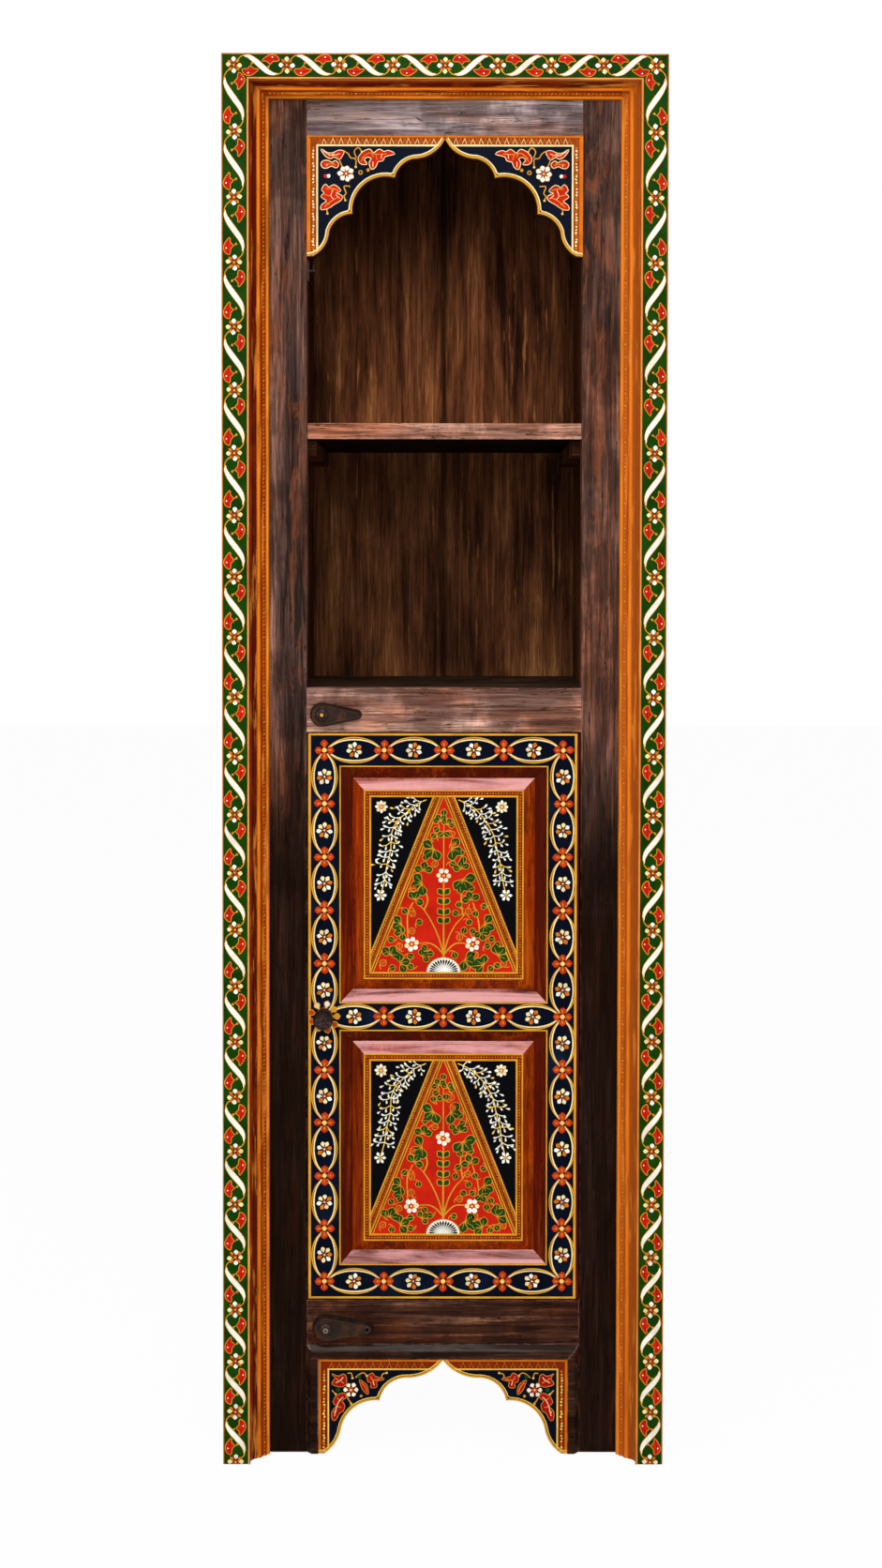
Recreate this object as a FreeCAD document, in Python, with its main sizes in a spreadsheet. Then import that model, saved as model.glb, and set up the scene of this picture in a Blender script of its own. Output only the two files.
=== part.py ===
"""Tall painted cabinet: an arched open niche over a panelled door, inside a wide painted architrave.

Millimetres, +Z up, front towards -Y, origin on the floor under the middle of the whole cabinet.
"""
import FreeCAD, Part
import math
import os
import re

import Sketcher
from FreeCAD import Placement, Rotation, Vector

# Driving dimensions, in millimetres
DIMS = {
    # Whole cabinet
    "overall_width": 565.0,
    "overall_height": 1800.0,
    "overall_depth": 345.0,
    # Architrave: flat painted board, then the stepped moulding inside it
    "board_width": 32.0,
    "board_head_height": 30.0,
    "moulding_width": 25.5,
    "moulding_head_height": 20.0,
    "face_setback": 36.0,
    # Face frame
    "frame_thickness": 26.0,
    "stile_show": 48.0,
    "rail_top_show": 45.0,
    "rail_middle_top": 997.0,
    "rail_middle_height": 56.5,
    "rail_bottom_top": 200.0,
    "rail_bottom_height": 58.0,
    "tenon_length": 40.0,
    "tenon_thickness": 9.0,
    "tenon_shoulder": 8.0,
    "joint_gap": 0.1,
    "mortise_end_gap": 1.0,
    # Carcass
    "wall_thickness": 18.0,
    "wall_setback": 9.0,
    "top_thickness": 18.0,
    "back_thickness": 11.0,
    "back_seam": 0.6,
    "back_lap": 10.0,
    "floor_thickness": 18.0,
    "shelf_thickness": 20.5,
    "shelf_setback": 2.0,
    "shelf_gap": 0.5,
    "cupboard_shelf_top": 590.0,
    "cupboard_shelf_setback": 52.0,
    "cleat_width": 20.0,
    "cleat_height": 20.0,
    # Cusped spandrels of the niche
    "spandrel_thickness": 24.0,
    "spandrel_setback": 1.0,
    "spandrel_drop": 154.0,
    "spandrel_gap": 0.4,
    # Apron under the bottom rail
    "apron_head_height": 18.0,
    "apron_post_width": 15.0,
    "apron_proud": 6.0,
    "apron_spandrel_setback": 2.0,
    # Door frame and raised panels
    "door_gap": 1.5,
    "door_foot_gap": 2.0,
    "door_thickness": 26.0,
    "door_stile_flat": 42.5,
    "door_rail_top_flat": 44.0,
    "door_rail_middle_flat": 38.0,
    "door_rail_bottom_flat": 46.0,
    "lock_rail_z": 571.0,
    "sticking_width": 15.0,
    "sticking_depth": 10.0,
    "panel_tongue_thickness": 8.0,
    "panel_groove_depth": 8.0,
    "panel_play": 2.0,
    "panel_bevel": 14.6,
    "field_setback": 1.5,
    "door_tenon_length": 24.0,
    "door_tenon_thickness": 8.0,
    "door_tenon_shoulder": 7.0,
    "heel_round": 3.0,
    # Door pivots
    "pivot_inset": 26.0,
    "pivot_setback": 8.0,
    "pivot_radius": 3.5,
    "pivot_seat": 28.0,
    "pivot_reach": 14.0,
    "pivot_clearance": 0.06,
    "pivot_end_gap": 0.5,
    "socket_half": 6.5,
    "socket_height": 18.0,
    # Door knob
    "knob_from_edge": 20.5,
    "knob_radius": 13.5,
    "knob_reach": 30.0,
    "knob_head_depth": 20.0,
    "knob_neck_radius": 6.5,
    "rose_radius": 11.0,
    "rose_thickness": 2.5,
    "spindle_radius": 4.0,
    "spindle_tail": 3.0,
    "nut_radius": 9.0,
    "nut_thickness": 5.0,
    # Turn buttons and their bolts
    "upper_button_from_stile": 20.0,
    "upper_button_rise": 22.5,
    "upper_button_reach": 51.0,
    "upper_button_radius": 16.0,
    "upper_button_tip": 6.5,
    "lower_button_from_stile": 25.0,
    "lower_button_rise": 23.0,
    "lower_button_reach": 62.0,
    "lower_button_radius": 18.0,
    "lower_button_tip": 8.5,
    "button_thickness": 10.0,
    "button_bevel": 3.5,
    "bolt_radius": 3.0,
    "bolt_clearance": 0.06,
    "bolt_depth": 20.0,
    "bolt_head_radius": 8.5,
    "bolt_head_height": 3.5,
    "bolt_head_gap": 0.3,
    "washer_radius": 9.0,
    "washer_thickness": 1.0,
    # Iron hook in the niche
    "hook_drop": 17.0,
    "hook_setback": 8.0,
    "hook_plate_height": 26.0,
    "hook_plate_width": 10.0,
    "hook_plate_thickness": 2.0,
    "hook_reach": 8.0,
    "hook_radius": 2.0,
    "hook_rise": 8.0,
    # Every cut runs past the face that it opens by this much
    "overrun": 1.0,
}

# Height of the niche shelf between the niche floor and the feet of the arch
SHELF_SHARE = 0.61552

# Places that follow from the driving dimensions
PLACES = {
    "half_width": "overall_width / 2",
    "front_y": "-overall_depth / 2",
    "face_y": "front_y + face_setback",
    "frame_back_y": "face_y + frame_thickness",
    "back_outer_y": "overall_depth / 2",
    "back_inner_y": "back_outer_y - back_thickness",
    "moulding_outer_x": "half_width - board_width",
    "moulding_inner_x": "moulding_outer_x - moulding_width",
    "opening_half": "moulding_inner_x - stile_show",
    "wall_inner_x": "opening_half + wall_setback",
    "wall_outer_x": "wall_inner_x + wall_thickness",
    "board_under_z": "overall_height - board_head_height",
    "moulding_under_z": "board_under_z - moulding_head_height",
    "rail_top_under_z": "moulding_under_z - rail_top_show",
    "rail_middle_under_z": "rail_middle_top - rail_middle_height",
    "rail_bottom_under_z": "rail_bottom_top - rail_bottom_height",
    "apron_head_under_z": "rail_bottom_under_z - apron_head_height",
    "apron_inner_x": "opening_half - apron_post_width",
    "apron_front_y": "face_y - apron_proud",
    "door_half": "opening_half - door_gap",
    "door_top_z": "rail_middle_under_z - door_gap",
    "door_foot_z": "rail_bottom_top + door_foot_gap",
    "door_back_y": "face_y + door_thickness",
    "panel_half": "door_half - door_stile_flat",
    "panel_inner_half": "panel_half - sticking_width",
    "upper_panel_top_z": "door_top_z - door_rail_top_flat",
    "upper_panel_foot_z": "lock_rail_z + door_rail_middle_flat / 2",
    "lower_panel_top_z": "lock_rail_z - door_rail_middle_flat / 2",
    "lower_panel_foot_z": "door_foot_z + door_rail_bottom_flat",
    "groove_y": "face_y + sticking_depth",
    "groove_back_y": "groove_y + panel_tongue_thickness",
    "pivot_x": "door_half - pivot_inset",
    "pivot_y": "face_y + pivot_setback",
    "knob_x": "knob_from_edge - door_half",
    "upper_button_x": "upper_button_from_stile - opening_half",
    "upper_button_z": "rail_middle_under_z + upper_button_rise",
    "lower_button_x": "lower_button_from_stile - opening_half",
    "lower_button_z": "rail_bottom_under_z + lower_button_rise",
    "button_back_y": "face_y - washer_thickness",
    "button_front_y": "button_back_y - button_thickness",
    "arch_foot_z": "rail_top_under_z - spandrel_drop",
    "shelf_top": "rail_middle_top + %s * (arch_foot_z - rail_middle_top)" % SHELF_SHARE,
    "hook_z": "arch_foot_z - hook_drop",
}

# Architrave moulding section: share of its width from the inner edge, share of its projection, and
# how far the side to the next point bows (share of that side; positive bows outwards)
MOULDING_SHARES = (
    (0.00, 0.00, 0.0),
    (0.00, 0.15, 0.0),
    (0.04, 0.20, 0.0),
    (0.14, 0.20, 0.0),
    (0.14, 0.28, 0.0),
    (0.36, 0.34, 0.0),
    (0.36, 0.38, 0.34),
    (0.56, 0.47, 0.0),
    (0.58, 0.52, -0.22),
    (0.88, 0.95, 0.0),
    (0.88, 1.00, 0.0),
    (1.00, 1.00, 0.0),
    (1.00, 0.00, 0.0),
)

# Cusped curves from foot to apex: share of the board's width from the middle of the cabinet, share of
# its height from the top, and how far the side to the next point is hollowed into the board
NICHE_CURVE_SHARES = (
    (1.000, 1.000, 0.000),
    (0.958, 0.997, -0.136),
    (0.838, 0.792, 0.160),
    (0.670, 0.644, 0.262),
    (0.362, 0.346, 0.151),
    (0.224, 0.188, -0.140),
    (0.000, 0.030, 0.000),
)
APRON_CURVE_SHARES = (
    (1.000, 1.000, 0.000),
    (0.955, 1.000, -0.110),
    (0.818, 0.736, 0.195),
    (0.507, 0.438, 0.185),
    (0.288, 0.197, -0.118),
    (0.000, 0.016, 0.000),
)
# Apron frame: the outer part of its front slopes back to the face of the rail
APRON_FLAT_SHARE = 0.6

SIDES = (("left", -1), ("right", 1))
ZERO = "0"
QUARTER_TURN = 90
NUT_SIDES = 6
HEAD_STEP = math.radians(45)
NAME = re.compile(r"[a-z_][a-z0-9_]*")
FUNCTIONS = ("sqrt",)

doc = FreeCAD.newDocument("painted_cabinet")
sheet = doc.addObject("Spreadsheet::Sheet", "dims")
for row, (alias, length) in enumerate(DIMS.items(), start=1):
    sheet.set("A%d" % row, alias)
    sheet.set("B%d" % row, str(length))
    sheet.setAlias("B%d" % row, alias)
doc.recompute()

pieces = []


def expand(text):
    """A formula with every place spelt out in cells of the sheet."""
    def swap(match):
        word = match.group(0)
        if word in PLACES:
            return "(" + expand(PLACES[word]) + ")"
        if word in FUNCTIONS:
            return word
        return sheet.Name + "." + word
    return NAME.sub(swap, text)


def value(text):
    return float(sheet.evalExpression(expand(text)))


def bind(item, prop, text):
    item.setExpression(prop, expand(text))


def place(item, x, y, z):
    for axis, text in (("x", x), ("y", y), ("z", z)):
        bind(item, ".Placement.Base." + axis, text)


def piece(node, item):
    """Names a finished sub-part, which is written to the file of that name."""
    item.Label = node
    pieces.append(item)
    return item


def mirrored(side, near, far):
    """Span from near to far on one side of the middle, low end first."""
    return (near, far) if side > 0 else ("-(%s)" % far, "-(%s)" % near)


# Solids


def block(xs, ys, zs):
    item = doc.addObject("Part::Box", "block")
    for prop, (low, high) in (("Length", xs), ("Width", ys), ("Height", zs)):
        bind(item, prop, "(%s) - (%s)" % (high, low))
    place(item, xs[0], ys[0], zs[0])
    return item


def rod_up(x, y, z_low, z_high, radius):
    item = doc.addObject("Part::Cylinder", "rod")
    bind(item, "Radius", radius)
    bind(item, "Height", "(%s) - (%s)" % (z_high, z_low))
    place(item, x, y, z_low)
    return item


def rod_through(x, z, y_front, y_back, radius):
    """Round bar along Y."""
    item = doc.addObject("Part::Cylinder", "rod")
    item.Placement = Placement(Vector(), Rotation(Vector(1, 0, 0), QUARTER_TURN))
    bind(item, "Radius", radius)
    bind(item, "Height", "(%s) - (%s)" % (y_back, y_front))
    place(item, x, y_back, z)
    return item


def frustum(front_y, front_xs, front_zs, back_y, back_xs, back_zs):
    """Block whose four sides slope from the front rectangle to the back one."""
    item = doc.addObject("Part::Wedge", "frustum")
    for prop, text in (("Ymin", front_y), ("Xmin", front_xs[0]), ("Xmax", front_xs[1]),
                       ("Zmin", front_zs[0]), ("Zmax", front_zs[1]),
                       ("Ymax", back_y), ("X2min", back_xs[0]), ("X2max", back_xs[1]),
                       ("Z2min", back_zs[0]), ("Z2max", back_zs[1])):
        bind(item, prop, text)
    return item


def joined(items):
    item = doc.addObject("Part::MultiFuse", "joined")
    item.Shapes = items
    item.Refine = True
    return item


def cut(base, tools):
    item = doc.addObject("Part::Cut", "cut")
    item.Base = base
    item.Tool = tools[0] if len(tools) == 1 else joined(tools)
    item.Refine = True
    return item


# Sketched bodies


def outline(body, role, corners, bows, offset):
    """Closed outline on an origin plane; a bow makes that side an arc, positive to its left."""
    sketch = body.newObject("Sketcher::SketchObject", "outline")
    plane = next(item for item in body.Origin.OriginFeatures if item.Role == role)
    sketch.AttachmentSupport = (plane, [""])
    sketch.MapMode = "FlatFace"
    bind(sketch, ".AttachmentOffset.Base.z", offset)
    spots = [Vector(value(across), value(up), 0) for across, up in corners]
    ends = []
    for index, start in enumerate(spots):
        end = spots[(index + 1) % len(spots)]
        bow = bows.get(index, 0)
        if not bow:
            sketch.addGeometry(Part.LineSegment(start, end))
            ends.append((1, 2))
            continue
        chord = end - start
        middle = (start + end) / 2 + Vector(-chord.y, chord.x, 0) * bow
        if bow < 0:
            sketch.addGeometry(Part.Arc(start, middle, end))
            ends.append((1, 2))
        else:
            sketch.addGeometry(Part.Arc(end, middle, start))
            ends.append((2, 1))
    for index, (_, finish) in enumerate(ends):
        following = (index + 1) % len(ends)
        begin = ends[following][0]
        sketch.addConstraint(Sketcher.Constraint("Coincident", index, finish, following, begin))
    for index, (across, up) in enumerate(corners):
        for kind, axis, text, number in (("DistanceX", -2, across, spots[index].x),
                                         ("DistanceY", -1, up, spots[index].y)):
            if number == 0:
                sketch.addConstraint(Sketcher.Constraint("PointOnObject", index, ends[index][0], axis))
                continue
            row = sketch.addConstraint(Sketcher.Constraint(kind, -1, 1, index, ends[index][0], number))
            bind(sketch, "Constraints[%d]" % row, text)
    for index, bow in bows.items():
        (x, y), (next_x, next_y) = corners[index], corners[(index + 1) % len(corners)]
        chord = "sqrt(((%s) - (%s))^2 + ((%s) - (%s))^2)" % (next_x, x, next_y, y)
        radius = "%s * %.6f" % (chord, (0.25 + bow * bow) / (2 * abs(bow)))
        row = sketch.addConstraint(Sketcher.Constraint("Radius", index, value(radius)))
        bind(sketch, "Constraints[%d]" % row, radius)
    return sketch


def pad(body, sketch, length):
    feature = body.newObject("PartDesign::Pad", "pad")
    feature.Profile = sketch
    bind(feature, "Length", length)


def slab(corners, bows, front_y, back_y):
    """Board cut to an outline in X and Z."""
    body = doc.addObject("PartDesign::Body", "slab")
    sketch = outline(body, "XZ_Plane", corners, bows, "-(%s)" % back_y)
    pad(body, sketch, "(%s) - (%s)" % (back_y, front_y))
    return body


def mitre(body, corners):
    """Cuts a triangle in X and Z right through the body, from in front of it."""
    sketch = outline(body, "XZ_Plane", corners, {}, "overrun - front_y")
    feature = body.newObject("PartDesign::Pocket", "mitre")
    feature.Profile = sketch
    feature.Type = "ThroughAll"


def turned(profile, bows, x, y, z):
    """Body turned about Y: corners give the radius and the depth behind the placed point."""
    body = doc.addObject("PartDesign::Body", "turned")
    sketch = outline(body, "XY_Plane", profile, bows, ZERO)
    feature = body.newObject("PartDesign::Revolution", "turn")
    feature.Profile = sketch
    feature.ReferenceAxis = (sketch, ["V_Axis"])
    place(body, x, y, z)
    return body


def rounded(radius, depth, middle_y, last_angle):
    """Profile of a round head from its crown, in even steps of angle about its middle."""
    steps = math.ceil(last_angle / HEAD_STEP)
    profile = []
    for step in range(steps + 1):
        angle = last_angle * step / steps
        across = "%s * %.6f" % (radius, math.sin(angle))
        profile.append((across, "%s - %s * %.6f" % (middle_y, depth, math.cos(angle))))
    return profile


# Sub-parts


def surround(name, inner_x, outer_x, under_z, top_z, section, bows):
    """Two jambs and a head of one section, mitred; section gives share across and depth."""
    for label, side in SIDES:
        body = doc.addObject("PartDesign::Body", name)
        corners = [("%d * (%s + %s * (%s - %s))" % (side, inner_x, share, outer_x, inner_x), depth)
                   for share, depth in section]
        side_bows = {index: -side * bow for index, bow in bows.items()}
        sketch = outline(body, "XY_Plane", corners, side_bows, ZERO)
        pad(body, sketch, top_z)
        mitre(body, [("%d * (%s)" % (side, inner_x), under_z), ("%d * (%s)" % (side, outer_x), top_z),
                     ("%d * (%s)" % (side, inner_x), top_z)])
        piece("%s_%s" % (name, label), body)
    head = doc.addObject("PartDesign::Body", name)
    corners = [(depth, "%s + %s * (%s - %s)" % (under_z, share, top_z, under_z))
               for share, depth in section]
    sketch = outline(head, "YZ_Plane", corners, bows, "-(%s)" % outer_x)
    pad(head, sketch, "2 * (%s)" % outer_x)
    for _, side in SIDES:
        mitre(head, [("%d * (%s)" % (side, outer_x), top_z), ("%d * (%s)" % (side, inner_x), under_z),
                     ("%d * (%s)" % (side, outer_x), under_z)])
    piece("%s_top" % name, head)


def architrave():
    for label, side in SIDES:
        outer, inner = "%d * half_width" % side, "%d * moulding_outer_x" % side
        board = [(outer, ZERO), (inner, ZERO), (inner, "board_under_z"), (outer, "overall_height")]
        piece("architrave_board_" + label, slab(board, {}, "front_y", "frame_back_y"))
    head = [("-half_width", "overall_height"), ("half_width", "overall_height"),
            ("moulding_outer_x", "board_under_z"), ("-moulding_outer_x", "board_under_z")]
    piece("architrave_board_top", slab(head, {}, "front_y", "frame_back_y"))
    section = [(share, "face_y - %s * face_setback" % depth) for share, depth, _ in MOULDING_SHARES]
    bows = {index: bow for index, (_, _, bow) in enumerate(MOULDING_SHARES) if bow}
    surround("architrave_moulding", "moulding_inner_x", "moulding_outer_x",
             "moulding_under_z", "board_under_z", section, bows)


def tenon_ys(thickness, tenon, gap):
    inset = "(%s - %s) / 2" % (thickness, tenon)
    return ("face_y + %s - %s" % (inset, gap), "face_y + %s - %s + %s" % (thickness, inset, gap))


def socket(low, high):
    """Square block round the door's pivot, the same for the iron socket and its seat in the rail."""
    return block(("pivot_x - socket_half", "pivot_x + socket_half"),
                 ("pivot_y - socket_half", "pivot_y + socket_half"), (low, high))


def face_frame():
    rails = (("rail_top", "rail_top_under_z", "board_under_z"),
             ("rail_middle", "rail_middle_under_z", "rail_middle_top"),
             ("rail_bottom", "rail_bottom_under_z", "rail_bottom_top"))
    frame_ys = ("face_y", "frame_back_y")
    for label, side in SIDES:
        stile_xs = mirrored(side, "opening_half", "moulding_outer_x")
        stile = block(stile_xs, frame_ys, (ZERO, "board_under_z"))
        mortises = []
        for _, low, high in rails:
            xs = mirrored(side, "opening_half - overrun", "opening_half + tenon_length + mortise_end_gap")
            zs = ("%s + tenon_shoulder - joint_gap" % low, "%s - tenon_shoulder + joint_gap" % high)
            mortises.append(block(xs, tenon_ys("frame_thickness", "tenon_thickness", "joint_gap"), zs))
        piece("stile_" + label, cut(stile, mortises))
    holes = {
        "rail_middle": [
            socket("rail_middle_under_z - overrun", "rail_middle_under_z + socket_height"),
            rod_through("upper_button_x", "upper_button_z", "face_y - overrun", "face_y + bolt_depth",
                        "bolt_radius")],
        "rail_bottom": [
            socket("rail_bottom_top - socket_height", "rail_bottom_top + overrun"),
            rod_through("lower_button_x", "lower_button_z", "face_y - overrun", "face_y + bolt_depth",
                        "bolt_radius")],
    }
    for node, low, high in rails:
        bar = block(("-opening_half", "opening_half"), frame_ys, (low, high))
        reach = "opening_half + tenon_length"
        tenon = block(("-(%s)" % reach, reach),
                      tenon_ys("frame_thickness", "tenon_thickness", ZERO),
                      ("%s + tenon_shoulder" % low, "%s - tenon_shoulder" % high))
        rail = joined([bar, tenon])
        piece(node, cut(rail, holes[node]) if node in holes else rail)


def carcass():
    depth_ys = ("frame_back_y", "back_inner_y")
    for label, side in SIDES:
        wall = block(mirrored(side, "wall_inner_x", "wall_outer_x"), depth_ys,
                     (ZERO, "board_under_z - top_thickness"))
        piece("side_panel_" + label, wall)
    back_zs = ("rail_bottom_under_z", "board_under_z")
    left, right = (block(mirrored(side, "back_seam / 2", "wall_outer_x"), ("back_inner_y", "back_outer_y"),
                         back_zs) for _, side in SIDES)
    lap_ys = ("(back_inner_y + back_outer_y) / 2", "back_outer_y")
    tongue = block(("-back_seam / 2", "back_lap"), lap_ys, back_zs)
    rebate = block(("back_seam / 2", "back_lap + back_seam"), lap_ys, back_zs)
    piece("back_board_left", joined([left, tongue]))
    piece("back_board_right", cut(right, [rebate]))
    piece("top_board", block(("-wall_outer_x", "wall_outer_x"), depth_ys,
                             ("board_under_z - top_thickness", "board_under_z")))

    inner_xs = ("shelf_gap - wall_inner_x", "wall_inner_x - shelf_gap")
    front_xs = ("shelf_gap - opening_half", "opening_half - shelf_gap")
    shelf_zs = ("shelf_top - shelf_thickness", "shelf_top")
    shelf = block(inner_xs, depth_ys, shelf_zs)
    nosing = block(front_xs, ("face_y + shelf_setback", "frame_back_y"), shelf_zs)
    piece("niche_shelf", joined([shelf, nosing]))
    shelf_ys = ("frame_back_y + cupboard_shelf_setback", "back_inner_y")
    floors = (("niche_floor", "rail_middle_top", "floor_thickness", depth_ys),
              ("cupboard_floor", "rail_bottom_top", "floor_thickness", depth_ys),
              ("cupboard_shelf", "cupboard_shelf_top", "floor_thickness", shelf_ys))
    for node, top, thickness, ys in floors:
        piece(node, block(inner_xs, ys, ("%s - %s" % (top, thickness), top)))
    carried = floors + (("niche_shelf", "shelf_top", "shelf_thickness", depth_ys),)
    for node, top, thickness, ys in carried:
        under = "%s - %s" % (top, thickness)
        for label, side in SIDES:
            cleat = block(mirrored(side, "wall_inner_x - cleat_width", "wall_inner_x"), ys,
                          ("%s - cleat_height" % under, under))
            piece("%s_cleat_%s" % (node, label), cleat)


def spandrels(name, half, top, foot, shares, front_y):
    """Pair of boards whose lower edges make a cusped arch."""
    for label, side in SIDES:
        width = "(%s - spandrel_gap)" % half
        corners = [("%d * spandrel_gap" % side, top), ("%d * (%s)" % (side, half), top)]
        bows = {}
        for across, down, hollow in shares:
            if hollow:
                bows[len(corners)] = -side * hollow
            corners.append(("%d * (spandrel_gap + %s * %s)" % (side, across, width),
                            "%s - %s * (%s - (%s))" % (top, down, top, foot)))
        back_y = "%s + spandrel_thickness" % front_y
        piece("%s_%s" % (name, label), slab(corners, bows, front_y, back_y))


def arches():
    spandrels("niche_spandrel", "opening_half", "rail_top_under_z", "arch_foot_z",
              NICHE_CURVE_SHARES, "face_y + spandrel_setback")
    section = [(0, "frame_back_y"), (0, "apron_front_y"), (APRON_FLAT_SHARE, "apron_front_y"),
               (1, "face_y"), (1, "frame_back_y")]
    surround("apron_frame", "apron_inner_x", "opening_half", "apron_head_under_z", "rail_bottom_under_z",
             section, {})
    spandrels("apron_spandrel", "apron_inner_x", "apron_head_under_z", ZERO,
              APRON_CURVE_SHARES, "apron_front_y + apron_spandrel_setback")


def door():
    openings = (("lower_panel_foot_z", "lower_panel_top_z"), ("upper_panel_foot_z", "upper_panel_top_z"))
    sticking, grooves = [], []
    for low, high in openings:
        half, inner = "panel_half", "panel_inner_half"
        sticking.append(frustum("face_y", ("-(%s)" % half, half), (low, high), "groove_y",
                                ("-(%s)" % inner, inner),
                                ("%s + sticking_width" % low, "%s - sticking_width" % high)))
        reach = "panel_inner_half + panel_groove_depth"
        grooves.append(block(("-(%s)" % reach, reach), ("groove_y", "groove_back_y"),
                             ("%s + sticking_width - panel_groove_depth" % low,
                              "%s - sticking_width + panel_groove_depth" % high)))
    door_ys = ("face_y", "door_back_y")
    rails = (("door_rail_bottom", "door_foot_z", "lower_panel_foot_z + sticking_width",
              "door_foot_z + door_tenon_shoulder", "lower_panel_foot_z - door_tenon_shoulder"),
             ("door_rail_middle", "lower_panel_top_z - sticking_width",
              "upper_panel_foot_z + sticking_width",
              "lower_panel_top_z + door_tenon_shoulder", "upper_panel_foot_z - door_tenon_shoulder"),
             ("door_rail_top", "upper_panel_top_z - sticking_width", "door_top_z",
              "upper_panel_top_z + door_tenon_shoulder", "door_top_z - door_tenon_shoulder"))
    for node, low, high, tenon_low, tenon_high in rails:
        bar = block(("-panel_inner_half", "panel_inner_half"), door_ys, (low, high))
        reach = "panel_inner_half + door_tenon_length"
        tenon = block(("-(%s)" % reach, reach),
                      tenon_ys("door_thickness", "door_tenon_thickness", ZERO),
                      (tenon_low, tenon_high))
        piece(node, cut(joined([bar, tenon]), sticking + grooves))

    mortise_ys = tenon_ys("door_thickness", "door_tenon_thickness", "joint_gap")
    for label, side in SIDES:
        stile_xs = mirrored(side, "panel_inner_half", "door_half")
        stile = block(stile_xs, door_ys, ("door_foot_z", "door_top_z"))
        tools = sticking + grooves
        xs = mirrored(side, "panel_inner_half - overrun",
                      "panel_inner_half + door_tenon_length + mortise_end_gap")
        for _, _, _, tenon_low, tenon_high in rails:
            zs = ("%s - joint_gap" % tenon_low, "%s + joint_gap" % tenon_high)
            tools.append(block(xs, mortise_ys, zs))
        if side > 0:
            tools.append(rod_up("pivot_x", "pivot_y", "door_foot_z - overrun", "door_foot_z + pivot_seat",
                                "pivot_radius"))
            tools.append(rod_up("pivot_x", "pivot_y", "door_top_z - pivot_seat", "door_top_z + overrun",
                                "pivot_radius"))
            heel = [("door_half + overrun", "face_y - overrun"),
                    ("door_half + overrun", "face_y + heel_round"),
                    ("door_half", "face_y + heel_round"),
                    ("door_half - heel_round", "face_y"),
                    ("door_half - heel_round", "face_y - overrun")]
            relief = doc.addObject("PartDesign::Body", "heel")
            quarter_bow_share = (math.sqrt(2) - 1) / 2
            sketch = outline(relief, "XY_Plane", heel, {2: -quarter_bow_share}, "door_foot_z - overrun")
            pad(relief, sketch, "door_top_z - door_foot_z + 2 * overrun")
            tools.append(relief)
        else:
            tools.append(rod_through("knob_x", "lock_rail_z", "face_y - overrun", "door_back_y + overrun",
                                     "spindle_radius"))
        piece("door_stile_" + label, cut(stile, tools))

    for node, (low, high) in zip(("door_panel_lower", "door_panel_upper"), openings):
        reach = "panel_inner_half + panel_groove_depth - panel_play"
        plate = block(("-(%s)" % reach, reach), ("groove_y + joint_gap", "groove_back_y"),
                      ("%s + sticking_width - panel_groove_depth + panel_play" % low,
                       "%s - sticking_width + panel_groove_depth - panel_play" % high))
        field = "panel_inner_half - panel_bevel"
        raised = frustum("face_y + field_setback", ("-(%s)" % field, field),
                         ("%s + sticking_width + panel_bevel" % low,
                          "%s - sticking_width - panel_bevel" % high),
                         "groove_y + joint_gap", ("-panel_inner_half", "panel_inner_half"),
                         ("%s + sticking_width" % low, "%s - sticking_width" % high))
        piece(node, joined([plate, raised]))


def door_pivots():
    ends = (("upper", "door_top_z - pivot_seat", "rail_middle_under_z + pivot_reach",
             "rail_middle_under_z", "rail_middle_under_z + socket_height",
             "rail_middle_under_z - overrun", "rail_middle_under_z + pivot_reach + pivot_end_gap"),
            ("lower", "rail_bottom_top - pivot_reach", "door_foot_z + pivot_seat",
             "rail_bottom_top - socket_height", "rail_bottom_top",
             "rail_bottom_top - pivot_reach - pivot_end_gap", "rail_bottom_top + overrun"))
    for label, pin_low, pin_high, cup_low, cup_high, bore_low, bore_high in ends:
        piece("pivot_pin_" + label, rod_up("pivot_x", "pivot_y", pin_low, pin_high, "pivot_radius"))
        bore = rod_up("pivot_x", "pivot_y", bore_low, bore_high, "pivot_radius + pivot_clearance")
        piece("pivot_socket_" + label, cut(socket(cup_low, cup_high), [bore]))


def knob():
    tail = "door_thickness + nut_thickness + spindle_tail"
    neck_angle = math.pi - math.asin(value("knob_neck_radius / knob_radius"))
    head = rounded("knob_radius", "knob_head_depth / 2", "knob_head_depth / 2 - knob_reach", neck_angle)
    profile = head + [("knob_neck_radius", "-rose_thickness"), ("spindle_radius", "-rose_thickness"),
                      ("spindle_radius", tail), (ZERO, tail)]
    piece("door_knob", turned(profile, {}, "knob_x", "face_y", "lock_rail_z"))
    rose = [("spindle_radius", ZERO), ("spindle_radius", "-rose_thickness"),
            ("rose_radius", "-rose_thickness"), ("rose_radius", ZERO)]
    piece("knob_rose", turned(rose, {}, "knob_x", "face_y", "lock_rail_z"))
    nut = doc.addObject("Part::Prism", "nut")
    nut.Polygon = NUT_SIDES
    nut.Placement = Placement(Vector(), Rotation(Vector(1, 0, 0), QUARTER_TURN))
    bind(nut, "Circumradius", "nut_radius")
    bind(nut, "Height", "nut_thickness")
    place(nut, "knob_x", "door_back_y + nut_thickness", "lock_rail_z")
    hole = rod_through("knob_x", "lock_rail_z", "door_back_y - overrun",
                       "door_back_y + nut_thickness + overrun", "spindle_radius")
    piece("knob_nut", cut(nut, [hole]))


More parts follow.
